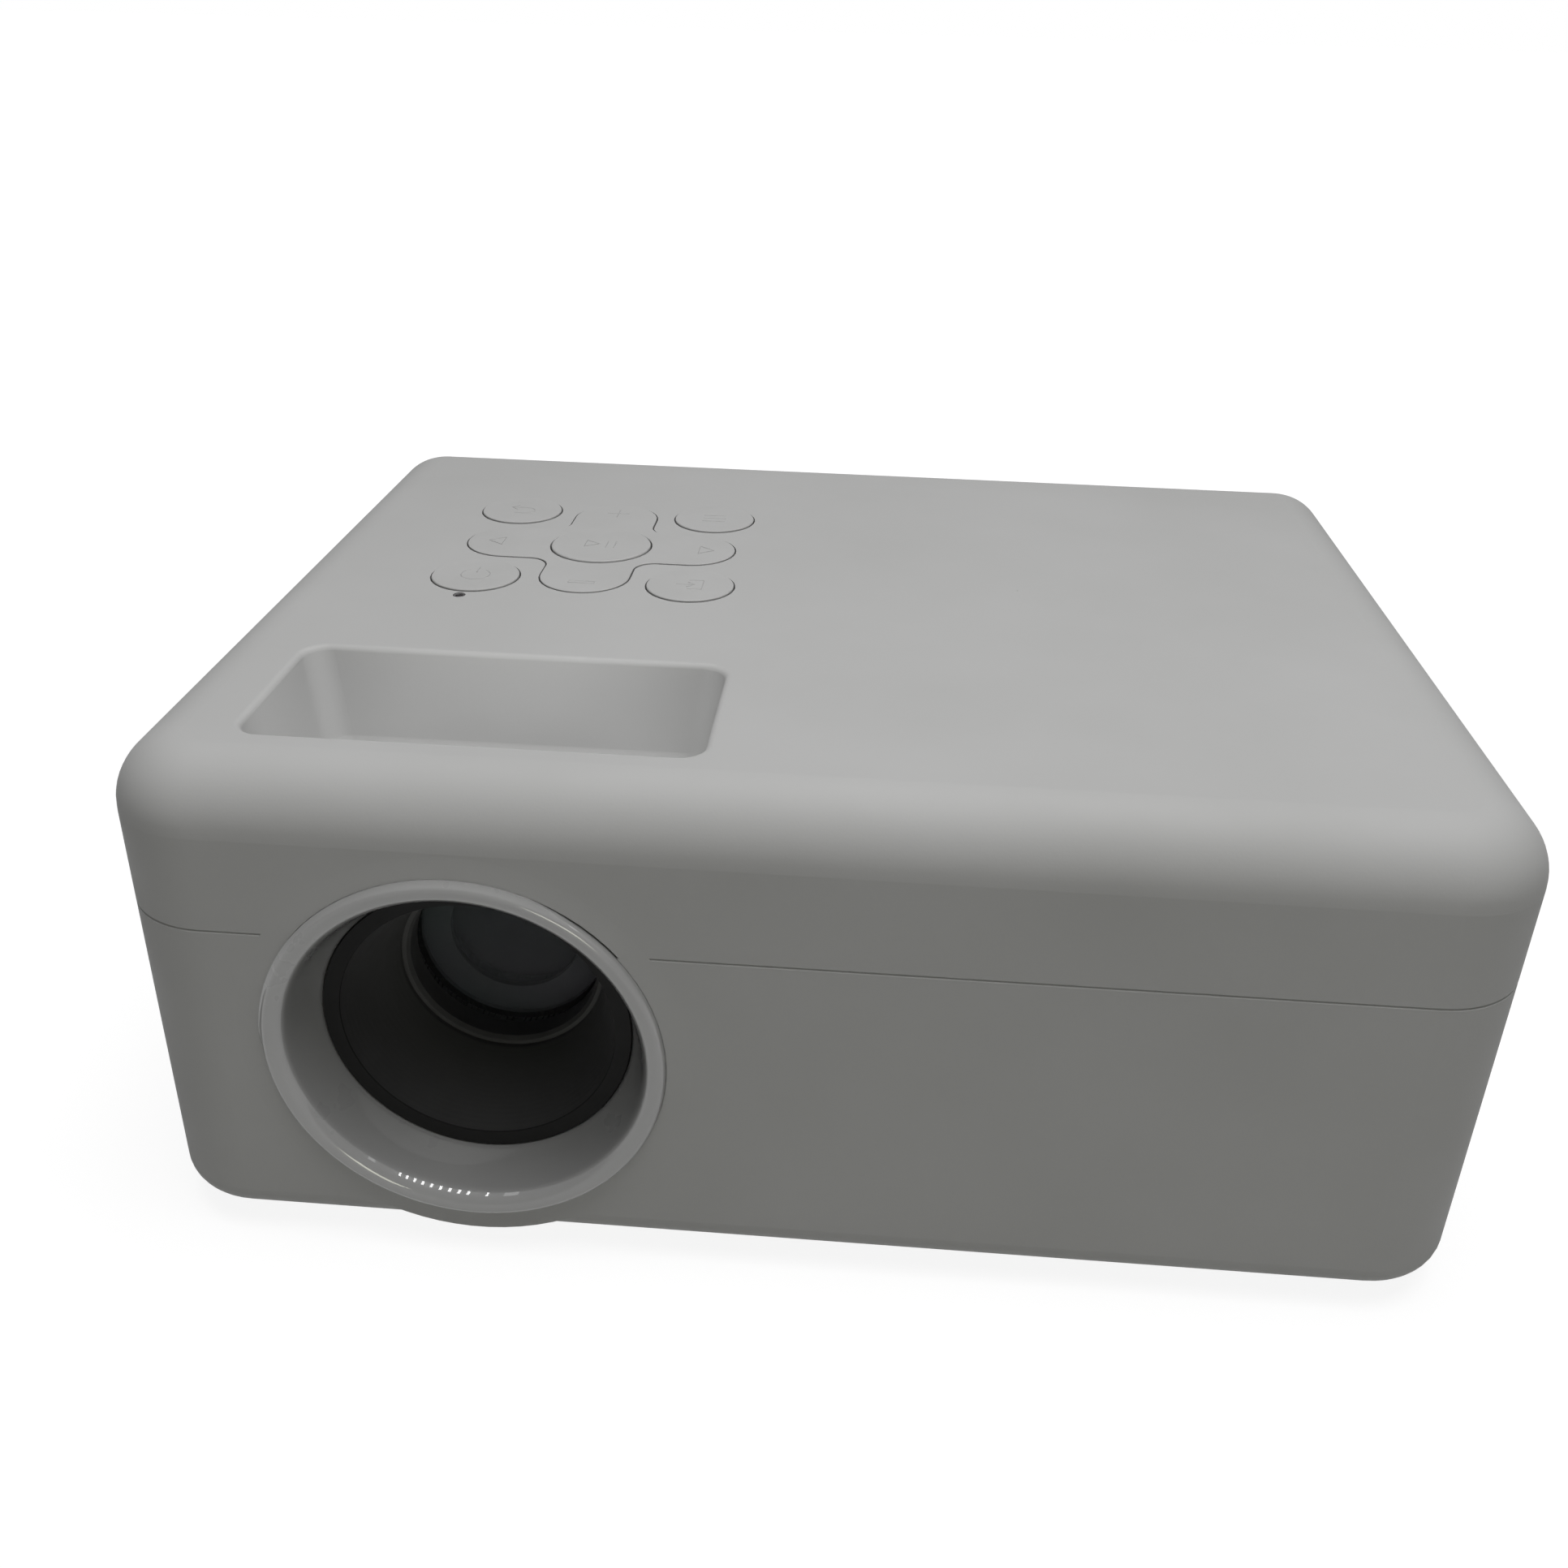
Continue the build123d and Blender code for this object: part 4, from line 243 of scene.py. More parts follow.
def specks(mat, spacing, radius, share):
    """Small dots at random places, one where a cell's own chance is under share."""
    tree = mat.node_tree
    cells = tree.nodes.new("ShaderNodeTexVoronoi")
    cells.inputs["Scale"].default_value = 1 / (spacing * mm)
    near = tree.nodes.new("ShaderNodeMath")
    near.operation = "LESS_THAN"
    near.inputs[1].default_value = radius / spacing
    chance = tree.nodes.new("ShaderNodeSeparateColor")
    chosen = tree.nodes.new("ShaderNodeMath")
    chosen.operation = "LESS_THAN"
    chosen.inputs[1].default_value = share
    both = tree.nodes.new("ShaderNodeMath")
    both.operation = "MULTIPLY"
    tree.links.new(own_place(tree), cells.inputs["Vector"])
    tree.links.new(cells.outputs["Distance"], near.inputs[0])
    tree.links.new(cells.outputs["Color"], chance.inputs["Color"])
    tree.links.new(chance.outputs["Red"], chosen.inputs[0])
    tree.links.new(near.outputs[0], both.inputs[0])
    tree.links.new(chosen.outputs[0], both.inputs[1])
    return both.outputs[0]


def shade(mat, pattern, dark, pale, low=0.3, high=0.7):
    """Lead a pattern to the base colour, from dark where it is low to pale where it is high."""
    tree = mat.node_tree
    ramp = tree.nodes.new("ShaderNodeValToRGB")
    ramp.color_ramp.elements[0].position = low
    ramp.color_ramp.elements[0].color = (*dark, 1)
    ramp.color_ramp.elements[1].position = high
    ramp.color_ramp.elements[1].color = (*pale, 1)
    tree.links.new(pattern, ramp.inputs["Fac"])
    tree.links.new(ramp.outputs["Color"], tree.nodes["Principled BSDF"].inputs["Base Color"])
    return ramp.outputs["Color"]


def spot(mat, mask, colour):
    """Lay a colour over what the base colour has, where the mask is one."""
    tree = mat.node_tree
    shader = tree.nodes["Principled BSDF"]
    mix = tree.nodes.new("ShaderNodeMix")
    mix.data_type = "RGBA"
    mix.inputs["B"].default_value = (*colour, 1)
    mix.inputs["A"].default_value = shader.inputs["Base Color"].default_value
    if shader.inputs["Base Color"].is_linked:
        tree.links.new(shader.inputs["Base Color"].links[0].from_socket, mix.inputs["A"])
    tree.links.new(mask, mix.inputs["Factor"])
    tree.links.new(mix.outputs["Result"], shader.inputs["Base Color"])


def sheen_patches(mat, pattern, low, high):
    """Let the roughness wander between two values with a pattern."""
    tree = mat.node_tree
    spread = tree.nodes.new("ShaderNodeMapRange")
    spread.inputs["From Min"].default_value = 0.3
    spread.inputs["From Max"].default_value = 0.7
    spread.inputs["To Min"].default_value = low
    spread.inputs["To Max"].default_value = high
    tree.links.new(pattern, spread.inputs["Value"])
    tree.links.new(spread.outputs["Result"], tree.nodes["Principled BSDF"].inputs["Roughness"])


def emboss(mat, pattern, depth, strength=1.0):
    """Turn a pattern into relief of the given depth in millimetres, on top of any relief before it."""
    tree = mat.node_tree
    shader = tree.nodes["Principled BSDF"]
    relief = tree.nodes.new("ShaderNodeBump")
    relief.inputs["Strength"].default_value = strength
    relief.inputs["Distance"].default_value = depth * mm
    if shader.inputs["Normal"].is_linked:
        tree.links.new(shader.inputs["Normal"].links[0].from_socket, relief.inputs["Normal"])
    tree.links.new(pattern, relief.inputs["Height"])
    tree.links.new(relief.outputs["Normal"], shader.inputs["Normal"])


def dress(mat, *names):
    """Give CAD nodes a material in place of the plain one that they came with."""
    for name in names:
        nodes[name].data.materials.clear()
        nodes[name].data.materials.append(mat)


casing_plastic = finish("casing_plastic", casing_grey, 0.6, specular=0.28)
shade(casing_plastic, cloud(casing_plastic, 60, 3), (0.425, 0.425, 0.42), (0.45, 0.45, 0.447))
spot(casing_plastic, specks(casing_plastic, 19, 0.22, 0.22), (0.10, 0.09, 0.08))
sheen_patches(casing_plastic, cloud(casing_plastic, 25, 3), 0.54, 0.66)
emboss(casing_plastic, cloud(casing_plastic, 0.5, 1), 0.012)
emboss(casing_plastic, cloud(casing_plastic, 14, 1), 0.02)
dress(casing_plastic, "upper_shell", "lower_shell")

# Lens bezel. One glossy moulding held between the shells: a bowed funnel with a rounded lip, which
# stands 2 mm proud of the casing's front, and a flange and a collar behind it.
lens_x, lens_z = -64.0, 49.0
lip_r = 38.6


def new_piece(name, bm, mat, body):
    """Make the bmesh an object of the scene that rides on a body."""
    piece = mesh_object(name, bm)
    piece.data.materials.append(mat)
    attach(piece, body)
    return piece


def smooth_shaded(piece, angle):
    """Shade faces as one curved surface, except over edges sharper than the angle in degrees."""
    piece.data.shade_smooth()
    piece.data.set_sharp_from_angle(angle=radians(angle))
    return piece


def bow(start, middle, end, steps):
    """Points along a quadratic curve through three points of a profile, without the first."""
    points = []
    for i in range(1, steps + 1):
        t = i / steps
        a = 2 * (t - 0.5) * (t - 1)
        b = -4 * t * (t - 1)
        c = 2 * t * (t - 0.5)
        points.append(tuple(a * p + b * q + c * r for p, q, r in zip(start, middle, end)))
    return points


def spun(profile, steps):
    """Turn a closed profile of (y, radius) points round the lens axis, with its faces outwards."""
    bm = bmesh.new()
    rim = [bm.verts.new(Vector((lens_x, y, lens_z + r)) * mm) for y, r in profile]
    edges = [bm.edges.new(pair) for pair in zip(rim, rim[1:] + rim[:1])]
    middle = Vector((lens_x, 0, lens_z)) * mm
    bmesh.ops.spin(bm, geom=rim + edges, cent=middle, axis=(0, 1, 0), angle=2 * pi, steps=steps,
                   use_merge=True)
    bmesh.ops.remove_doubles(bm, verts=bm.verts, dist=1e-6)
    bmesh.ops.recalc_face_normals(bm, faces=bm.faces)
    return bm


bezel_profile = [(-102.9, lip_r), (-101.4, lip_r), (-99.5, lip_r), (-99.5, 41.0), (-97.5, 41.0),
                 (-97.5, 36.4), (-92.2, 32.8), (-90.4, 32.8), (-90.4, 30.6), (-92.2, 30.6)]
bezel_profile += bow((-92.2, 30.6), (-96.6, 32.5), (-100.8, 33.9), 10)
bezel_profile += bow((-100.8, 33.9), (-103.1, 35.0), (-103.9, 36.7), 8)
bezel_profile += bow((-103.9, 36.7), (-103.8, 37.9), (-102.9, lip_r), 6)[:-1]
flange_front_y, flange_low_z = -99.6, 11
wall_r, gap_shut, gap_opens_at, gap_opens_over = 38.5, 0.4, 55, 12
bm = spun(bezel_profile, 180)
for vert in bm.verts:
    across, up = vert.co.x - lens_x * mm, vert.co.z - lens_z * mm
    if vert.co.y > flange_front_y * mm:
        # The flange is flat below, where it clears the floor of the casing.
        vert.co.z = max(vert.co.z, flange_low_z * mm)
    elif up > 0 and across * across + up * up > (wall_r * mm) ** 2:
        # Over the top the wall closes the gap to the lid, which opens on the right towards the seam.
        shut = min(1.0, max(0.0, (degrees(atan2(up, across)) - gap_opens_at) / gap_opens_over))
        vert.co.x += gap_shut * mm * shut * across / (lip_r * mm)
        vert.co.z += gap_shut * mm * shut * up / (lip_r * mm)
bezel_plastic = finish("bezel_plastic", (0.31, 0.31, 0.308), 0.3, specular=0.3, coat=1.0)
polish = bezel_plastic.node_tree.nodes["Principled BSDF"].inputs
polish["Coat IOR"].default_value = 1.9
polish["Coat Roughness"].default_value = 0.005
shade(bezel_plastic, cloud(bezel_plastic, 30, 2), (0.30, 0.30, 0.298), (0.325, 0.325, 0.323))
sheen_patches(bezel_plastic, cloud(bezel_plastic, 9, 3), 0.26, 0.36)
emboss(bezel_plastic, cloud(bezel_plastic, 12, 1), 0.004)
bezel = smooth_shaded(new_piece("bezel", bm, bezel_plastic, "casing"), 40)
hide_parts("lens_bezel")

# Lens barrel and its sleeve. Black glass-filled polycarbonate; the hood in front of the glass has fine
# turned grooves against stray light, greys towards the glass in painted light that stands in for light
# reaching into it, and its flat front end is blacker. A ring, painted paler for the same light, holds the
# front glass.
barrel_plastic = finish("barrel_plastic", (0.05, 0.05, 0.05), 0.55, specular=0.12)
wave_period = 1 / 3.183  # of the wave texture at scale one


def rings_along(mat, axis, pitch):
    """Fine ridges, one every pitch millimetres along an axis of the object's space."""
    tree = mat.node_tree
    wave = tree.nodes.new("ShaderNodeTexWave")
    wave.wave_type = "BANDS"
    wave.bands_direction = axis
    wave.inputs["Scale"].default_value = wave_period / (pitch * mm)
    wave.inputs["Distortion"].default_value = 0.0
    tree.links.new(own_place(tree), wave.inputs["Vector"])
    return wave.outputs["Fac"]


def place_along(tree, axis):
    """Where a point lies along one axis of the object's own space."""
    parts = tree.nodes.new("ShaderNodeSeparateXYZ")
    tree.links.new(own_place(tree), parts.inputs["Vector"])
    return parts.outputs[axis]


def zone(mat, axis, low, high):
    """One between two places in millimetres along an axis of the object's space."""
    tree = mat.node_tree
    inside = tree.nodes.new("ShaderNodeMath")
    inside.operation = "COMPARE"
    inside.inputs[1].default_value = (low + high) / 2 * mm
    inside.inputs[2].default_value = (high - low) / 2 * mm
    tree.links.new(place_along(tree, axis), inside.inputs[0])
    return inside.outputs[0]


def slope(mat, axis, low, high):
    """From zero to one between two places in millimetres along an axis of the object's space."""
    tree = mat.node_tree
    ramp = tree.nodes.new("ShaderNodeMapRange")
    ramp.inputs["From Min"].default_value = low * mm
    ramp.inputs["From Max"].default_value = high * mm
    tree.links.new(place_along(tree, axis), ramp.inputs["Value"])
    return ramp.outputs["Result"]


shade(barrel_plastic, cloud(barrel_plastic, 12, 2), (0.046, 0.046, 0.046), (0.054, 0.054, 0.054))
front_end = (-92.6, -91.9)
hood_front_y, hood_deep_y = -91.5, -78
# Painted light: the hood's grey lightens towards the glass, standing in for light that reaches deep into
# it.
spot(barrel_plastic, slope(barrel_plastic, "Y", hood_front_y, hood_deep_y), (0.088, 0.088, 0.088))
spot(barrel_plastic, zone(barrel_plastic, "Y", *front_end), (0.014, 0.014, 0.014))
sheen_patches(barrel_plastic, cloud(barrel_plastic, 6, 3), 0.5, 0.62)
emboss(barrel_plastic, rings_along(barrel_plastic, "Y", 1.2), 0.03, 0.5)
emboss(barrel_plastic, cloud(barrel_plastic, 0.4, 1), 0.01)
dress(barrel_plastic, "lens_barrel", "lens_sleeve")
# Painted light: the retaining ring's paler grey stands in for light deep in the hood.
ring_plastic = finish("ring_plastic", (0.10, 0.10, 0.10), 0.5, specular=0.2)
shade(ring_plastic, cloud(ring_plastic, 6, 2), (0.09, 0.09, 0.09), (0.11, 0.11, 0.11))
sheen_patches(ring_plastic, cloud(ring_plastic, 3, 3), 0.42, 0.58)
emboss(ring_plastic, rings_along(ring_plastic, "Y", 0.8), 0.01, 0.4)
dress(ring_plastic, "lens_retaining_ring")

# Lens glasses. Ground optical glass with a dark violet-green antireflection coating, faintly dusty,
# and two flat clear plastic plates with fine steps, before and behind the picture panel.
lens_glass = finish("lens_glass", (0.46, 0.50, 0.51), 0.02, specular=0.5, transmission=0.96, ior=1.12)
sheen_patches(lens_glass, cloud(lens_glass, 4, 4), 0.01, 0.05)
shade(lens_glass, cloud(lens_glass, 30, 1), (0.45, 0.51, 0.50), (0.51, 0.50, 0.53))
dress(lens_glass, "front_glass", "inner_glasses", "condenser_lens")
clear_plastic = finish("clear_plastic", (0.86, 0.88, 0.88), 0.05, specular=0.4, transmission=1.0, ior=1.49)
emboss(clear_plastic, rings_along(clear_plastic, "Z", 0.5), 0.05)
sheen_patches(clear_plastic, cloud(clear_plastic, 8, 3), 0.03, 0.1)
dress(clear_plastic, "fresnel_lenses")

# Keys. Four round caps, a round middle key and one cross-shaped pad of the casing's own plastic,
# smoother from the fingers than the lid round them.
key_plastic = finish("key_plastic", casing_grey, 0.5, specular=0.3)
shade(key_plastic, cloud(key_plastic, 18, 3), (0.42, 0.42, 0.415), (0.445, 0.445, 0.442))
sheen_patches(key_plastic, cloud(key_plastic, 7, 3), 0.42, 0.58)
emboss(key_plastic, cloud(key_plastic, 0.5, 1), 0.01)
dress(key_plastic, "power_key", "source_key", "back_key", "menu_key", "ok_key", "dpad")

# Key symbols. Thin moulded strokes on the key tops: power, source, back and menu on the corners,
# play and pause in the middle, plus, minus and two arrowheads on the pad.
stroke_plastic = finish("stroke_plastic", (0.38, 0.38, 0.378), 0.5, specular=0.3)
shade(stroke_plastic, cloud(stroke_plastic, 2, 2), (0.355, 0.355, 0.352), (0.40, 0.40, 0.397))
stroke_r, stroke_sunk = 0.17, 0.06


def arc(radius, start, end, steps):
    """Points on an arc about the key's middle, in degrees."""
    turns = [radians(start + (end - start) * i / steps) for i in range(steps + 1)]
    return [(radius * cos(a), radius * sin(a)) for a in turns]


def symbol(name, body, middle, top, lines):
    """Half-round strokes along lines about a key's middle; a line that ends where it starts is closed."""
    curve = bpy.data.curves.new(name, "CURVE")
    curve.dimensions = "3D"
    curve.bevel_depth = stroke_r * mm
    curve.bevel_resolution = 2
    curve.use_fill_caps = True
    for line in lines:
        closed = line[0] == line[-1]
        points = line[:-1] if closed else line
        spline = curve.splines.new("POLY")
        spline.points.add(len(points) - 1)
        spline.use_cyclic_u = closed
        for point, (x, y) in zip(spline.points, points):
            point.co = ((middle[0] + x) * mm, (middle[1] + y) * mm, (top - stroke_sunk) * mm, 1)
    drawn = bpy.data.objects.new(name + "_curve", curve)
    mesh = bpy.data.meshes.new_from_object(drawn)
    bpy.data.objects.remove(drawn)
    mesh.name = name
    mesh.materials.clear()
    mesh.materials.append(stroke_plastic)
    piece = bpy.data.objects.new(name, mesh)
    bpy.context.scene.collection.objects.link(piece)
    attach(piece, body)
    return smooth_shaded(piece, 50)


pad_x, pad_y, key_top, ok_top, pad_top = -59.0, 24.0, 106.4, 106.6, 106.25
left_x, right_x, front_row_y, back_row_y = -83.9, -34.1, 0.2, 47.8
broken_ring = arc(3.3, 125, 415, 22)
symbol("power_symbol", "power_key", (left_x, front_row_y), key_top, [broken_ring, [(0, 1.2), (0, 4.4)]])
symbol("source_symbol", "source_key", (right_x, front_row_y), key_top, [
    [(-0.4, 2.7), (2.9, 2.7), (2.9, -2.7), (-0.4, -2.7)],
    [(-3.2, 0), (1.0, 0)],
    [(-0.6, 1.5), (1.0, 0), (-0.6, -1.5)]])
hook = [(1.2 + 2.1 * sin(radians(a)), -0.5 + 2.1 * cos(radians(a))) for a in range(15, 181, 15)]
symbol("back_symbol", "back_key", (left_x, back_row_y), key_top, [
    [(-1.4, 3.2), (-3.0, 1.6), (-1.4, 0.0)],
    [(-3.0, 1.6), (1.2, 1.6)] + hook + [(-1.6, -2.6)]])
bars = [[(-2.9, y), (2.9, y)] for y in (-2.2, 0, 2.2)]
symbol("menu_symbol", "menu_key", (right_x, back_row_y), key_top, bars)
symbol("play_symbol", "ok_key", (pad_x, pad_y), ok_top, [
    [(-3.8, 2.2), (-0.4, 0), (-3.8, -2.2), (-3.8, 2.2)],
    [(1.4, 2.2), (1.4, -2.2)],
    [(3.4, 2.2), (3.4, -2.2)]])
symbol("pad_symbols", "dpad", (pad_x, pad_y), pad_top, [
    [(24.0, 2.6), (27.6, 0), (24.0, -2.6), (24.0, 2.6)],
    [(-24.0, 2.6), (-27.6, 0), (-24.0, -2.6), (-24.0, 2.6)],
    [(-3.0, -24.6), (3.0, -24.6), (3.0, -25.8), (-3.0, -25.8), (-3.0, -24.6)],
    [(-2.8, 24.6), (2.8, 24.6)],
    [(0, 21.8), (0, 27.4)]])

# Indicator. A smoked light pipe that ends just under the lid in front of the power key, in a thin rim
# of the same plastic; the window over the remote control's eye at the rear is smoked too.
dark_window = finish("dark_window", (0.012, 0.010, 0.012), 0.12, specular=0.5)
sheen_patches(dark_window, cloud(dark_window, 2, 2), 0.08, 0.18)
shade(dark_window, cloud(dark_window, 4, 2), (0.008, 0.007, 0.009), (0.02, 0.014, 0.018))
dress(dark_window, "light_pipe", "ir_window")


def ring_piece(name, profile, centres, axis, steps, mat, body, closed=True):
    """Turn (radius, height) points round an axis through each centre; an open profile isn't closed."""
    bm = bmesh.new()
    along = Vector(axis).normalized()
    across = along.orthogonal().normalized()
    for point in centres:
        origin = Vector(point) * mm
        rim = [bm.verts.new(origin + (across * r + along * h) * mm) for r, h in profile]
        pairs = list(zip(rim, rim[1:] + (rim[:1] if closed else [])))
        edges = [bm.edges.new(pair) for pair in pairs]
        bmesh.ops.spin(bm, geom=rim + edges, cent=origin, axis=along, angle=2 * pi, steps=steps,
                       use_merge=True)
    bmesh.ops.remove_doubles(bm, verts=bm.verts, dist=1e-6)
    bmesh.ops.recalc_face_normals(bm, faces=bm.faces)
    return smooth_shaded(new_piece(name, bm, mat, body), 35)


light_place = (-84.5, -12.1, 106.0)
ring_piece("light_rim", [(1.02, -0.1), (1.02, 0.0), (1.08, 0.05), (1.32, 0.05), (1.4, 0.0), (1.4, -0.1)],
           [light_place], (0, 0, 1), 32, dark_window, "casing")

# Disc drive, outside. A tray front of the casing's plastic with an eject button, a small eject mark
# and the pinhole that a straightened wire goes into when the tray is stuck.
front_x, tray_mid_z = 129.4, 37.8
dress(casing_plastic, "tray_bezel")
dress(key_plastic, "eject_button")


def spread(axis, u, v, w):
    """Put (across, up) in the plane across an axis, at the place w along it."""
    return {"X": (w, u, v), "Y": (u, w, v), "Z": (u, v, w)}[axis]


def plates(name, outlines, axis, start, end, edge, mat, body):
    """Extrude flat outlines of (across, up) points along an axis and round the edges of their ends."""
    bm = bmesh.new()
    for outline in outlines:
        face = bm.faces.new([bm.verts.new(Vector(spread(axis, u, v, start)) * mm) for u, v in outline])
        grown = bmesh.ops.extrude_face_region(bm, geom=[face])
        tip = [item for item in grown["geom"] if isinstance(item, bmesh.types.BMVert)]
        shift = Vector(spread(axis, 0, 0, end - start)) * mm
        bmesh.ops.translate(bm, verts=tip, vec=shift)
        rim = [e for e in bm.edges if e.is_valid and all(v in tip for v in e.verts)]
        bmesh.ops.bevel(bm, geom=rim, offset=edge * mm, offset_type="OFFSET", segments=2, profile=0.5,
                        affect="EDGES", material=-1)
    bmesh.ops.recalc_face_normals(bm, faces=bm.faces)
    return smooth_shaded(new_piece(name, bm, mat, body), 35)


def block(u, v, width, height, corner=0.0, steps=3):
    """Outline of a rectangle about (u, v), with round corners where a corner radius is given."""
    points = []
    for k, (su, sv) in enumerate(((1, 1), (-1, 1), (-1, -1), (1, -1))):
        cu, cv = u + su * (width / 2 - corner), v + sv * (height / 2 - corner)
        turns = [radians(90 * (k + i / steps)) for i in (range(steps + 1) if corner else (0,))]
        points += [(cu + corner * cos(a), cv + corner * sin(a)) for a in turns]
    return points


mark_y, pinhole_y = -52.0, -30.0
arrow = [(mark_y - 1.6, tray_mid_z - 0.3), (mark_y + 1.6, tray_mid_z - 0.3), (mark_y, tray_mid_z + 1.5)]
bar = block(mark_y, tray_mid_z - 1.2, 3.2, 0.7)
plates("eject_mark", [arrow, bar], "X", front_x - 0.05, front_x + 0.06, 0.03, stroke_plastic,
       "disc_tray")
hole_shade = finish("hole_shade", (0.012, 0.012, 0.012), 0.7, specular=0.2)
shade(hole_shade, cloud(hole_shade, 1, 2), (0.008, 0.008, 0.008), (0.018, 0.018, 0.018))
emboss(hole_shade, cloud(hole_shade, 0.3, 1), 0.02)
pinhole_profile = [(0.0, 0.01), (0.62, 0.01), (0.8, 0.12), (1.15, 0.05), (1.2, -0.05), (0.0, -0.05)]
ring_piece("pinhole", pinhole_profile, [(front_x, pinhole_y, tray_mid_z)], (1, 0, 0), 24, hole_shade,
           "disc_tray", closed=False)

# Disc tray. Black ABS with a fine grain; the recess for the disc is polished in faint circles by discs
# laid into it. The turned hub carries a rubber ring under the disc and three clip balls, of the same
# bright steel as the drive's rods and lead screw, the case screws and the levelling stud.
tray_plastic = finish("tray_plastic", (0.03, 0.03, 0.031), 0.45, specular=0.4)


def rings_about(mat, centre, pitch):
    """Circles, one every pitch millimetres, about an upright axis through a place."""
    tree = mat.node_tree
    shift = tree.nodes.new("ShaderNodeMapping")
    shift.inputs["Location"].default_value = (-centre[0] * mm, -centre[1] * mm, 0)
    shift.inputs["Scale"].default_value = (1, 1, 0)
    wave = tree.nodes.new("ShaderNodeTexWave")
    wave.wave_type = "RINGS"
    wave.rings_direction = "SPHERICAL"
    wave.inputs["Scale"].default_value = wave_period / (pitch * mm)
    wave.inputs["Distortion"].default_value = 0.0
    tree.links.new(own_place(tree), shift.inputs["Vector"])
    tree.links.new(shift.outputs["Vector"], wave.inputs["Vector"])
    return wave.outputs["Fac"]


hub_x, hub_y, platter_z = 65.2, 1.0, 38.5
shade(tray_plastic, cloud(tray_plastic, 22, 3), (0.026, 0.026, 0.027), (0.036, 0.036, 0.037))
sheen_patches(tray_plastic, rings_about(tray_plastic, (hub_x, hub_y), 7.0), 0.40, 0.48)
emboss(tray_plastic, cloud(tray_plastic, 0.45, 1), 0.012)
dress(tray_plastic, "disc_tray")
turned_black = finish("turned_black", (0.02, 0.02, 0.02), 0.35, specular=0.5)
shade(turned_black, cloud(turned_black, 6, 2), (0.015, 0.015, 0.015), (0.026, 0.026, 0.026))
emboss(turned_black, rings_about(turned_black, (hub_x, hub_y), 0.6), 0.02, 0.6)
dress(turned_black, "disc_hub")
hub_rubber = finish("hub_rubber", (0.05, 0.05, 0.05), 0.85, specular=0.2)
shade(hub_rubber, cloud(hub_rubber, 1.5, 3), (0.04, 0.04, 0.04), (0.07, 0.07, 0.07))
emboss(hub_rubber, cloud(hub_rubber, 0.2, 2), 0.03)
ring_piece("hub_pad", [(9.4, 0.0), (9.5, 0.22), (9.8, 0.3), (12.6, 0.3), (12.9, 0.22), (13.0, 0.0)],
           [(hub_x, hub_y, platter_z - 0.05)], (0, 0, 1), 64, hub_rubber, "disc_hub")
bright_steel = finish("bright_steel", (0.62, 0.62, 0.63), 0.22, metallic=1.0)
shade(bright_steel, cloud(bright_steel, 3, 3), (0.56, 0.56, 0.57), (0.66, 0.66, 0.67))
sheen_patches(bright_steel, cloud(bright_steel, 1.5, 3), 0.16, 0.32)
emboss(bright_steel, cloud(bright_steel, 0.8, 2, (1, 8, 1)), 0.01)
ball_r, ball_out, ball_up = 1.0, 6.75, 1.1
bm = bmesh.new()
for turn_angle in (30, 150, 270):
    ball = bmesh.ops.create_uvsphere(bm, u_segments=16, v_segments=10, radius=ball_r * mm)["verts"]
    out = Vector((cos(radians(turn_angle)), sin(radians(turn_angle)), 0))
    bmesh.ops.scale(bm, vec=(1, 1, 0.9), verts=ball)
    ball_place = Vector((hub_x, hub_y, platter_z + ball_up)) + ball_out * out
    bmesh.ops.translate(bm, verts=ball, vec=ball_place * mm)
smooth_shaded(new_piece("hub_balls", bm, bright_steel, "disc_hub"), 60)
dress(bright_steel, "sled_rods", "lead_screw", "case_screws", "leveling_stud")

# Optical pickup and its drive. A die-cast sled with a domed lens in a round holder, on two steel rods,
# and a lead screw whose thread the sled's nut follows.
sled_x, sled_top_z, rod_z, screw_x, screw_y = 86.7, 38.3, 35.9, 60.7, 20.5
cast_metal = finish("cast_metal", (0.22, 0.22, 0.225), 0.5, metallic=0.9)
shade(cast_metal, cloud(cast_metal, 4, 3), (0.18, 0.18, 0.185), (0.27, 0.27, 0.275))
sheen_patches(cast_metal, cloud(cast_metal, 2, 3), 0.42, 0.6)
emboss(cast_metal, cloud(cast_metal, 0.5, 3), 0.03)
dress(cast_metal, "pickup_sled")
holder_profile = [(2.1, 0.0), (2.1, 0.22), (2.3, 0.32), (2.7, 0.3), (2.95, 0.05), (2.95, -0.3), (2.1, -0.3)]
ring_piece("pickup_holder", holder_profile, [(sled_x, hub_y, sled_top_z)], (0, 0, 1), 40, turned_black,
           "pickup_sled")
pickup_glass = finish("pickup_glass", (0.25, 0.3, 0.55), 0.03, specular=0.8, coat=0.6)
shade(pickup_glass, cloud(pickup_glass, 2, 1), (0.10, 0.13, 0.32), (0.32, 0.30, 0.52))
sheen_patches(pickup_glass, cloud(pickup_glass, 1, 2), 0.02, 0.06)
dome_profile = [(0.0, 0.42), (0.7, 0.38), (1.3, 0.26), (1.8, 0.1), (2.1, -0.02), (2.1, -0.2), (0.0, -0.2)]
ring_piece("pickup_lens", dome_profile, [(sled_x, hub_y, sled_top_z)], (0, 0, 1), 40, pickup_glass,
           "pickup_sled", closed=False)


def thread(low_r, high_r, start, rise, pitch, turns):
    """(radius, height) points along a thread: from low_r to high_r and back in every turn."""
    points = []
    for groove in range(turns):
        place = start + pitch * groove
        points += [(low_r, place), (high_r, place + rise), (low_r, place + 2 * rise)]
    return points


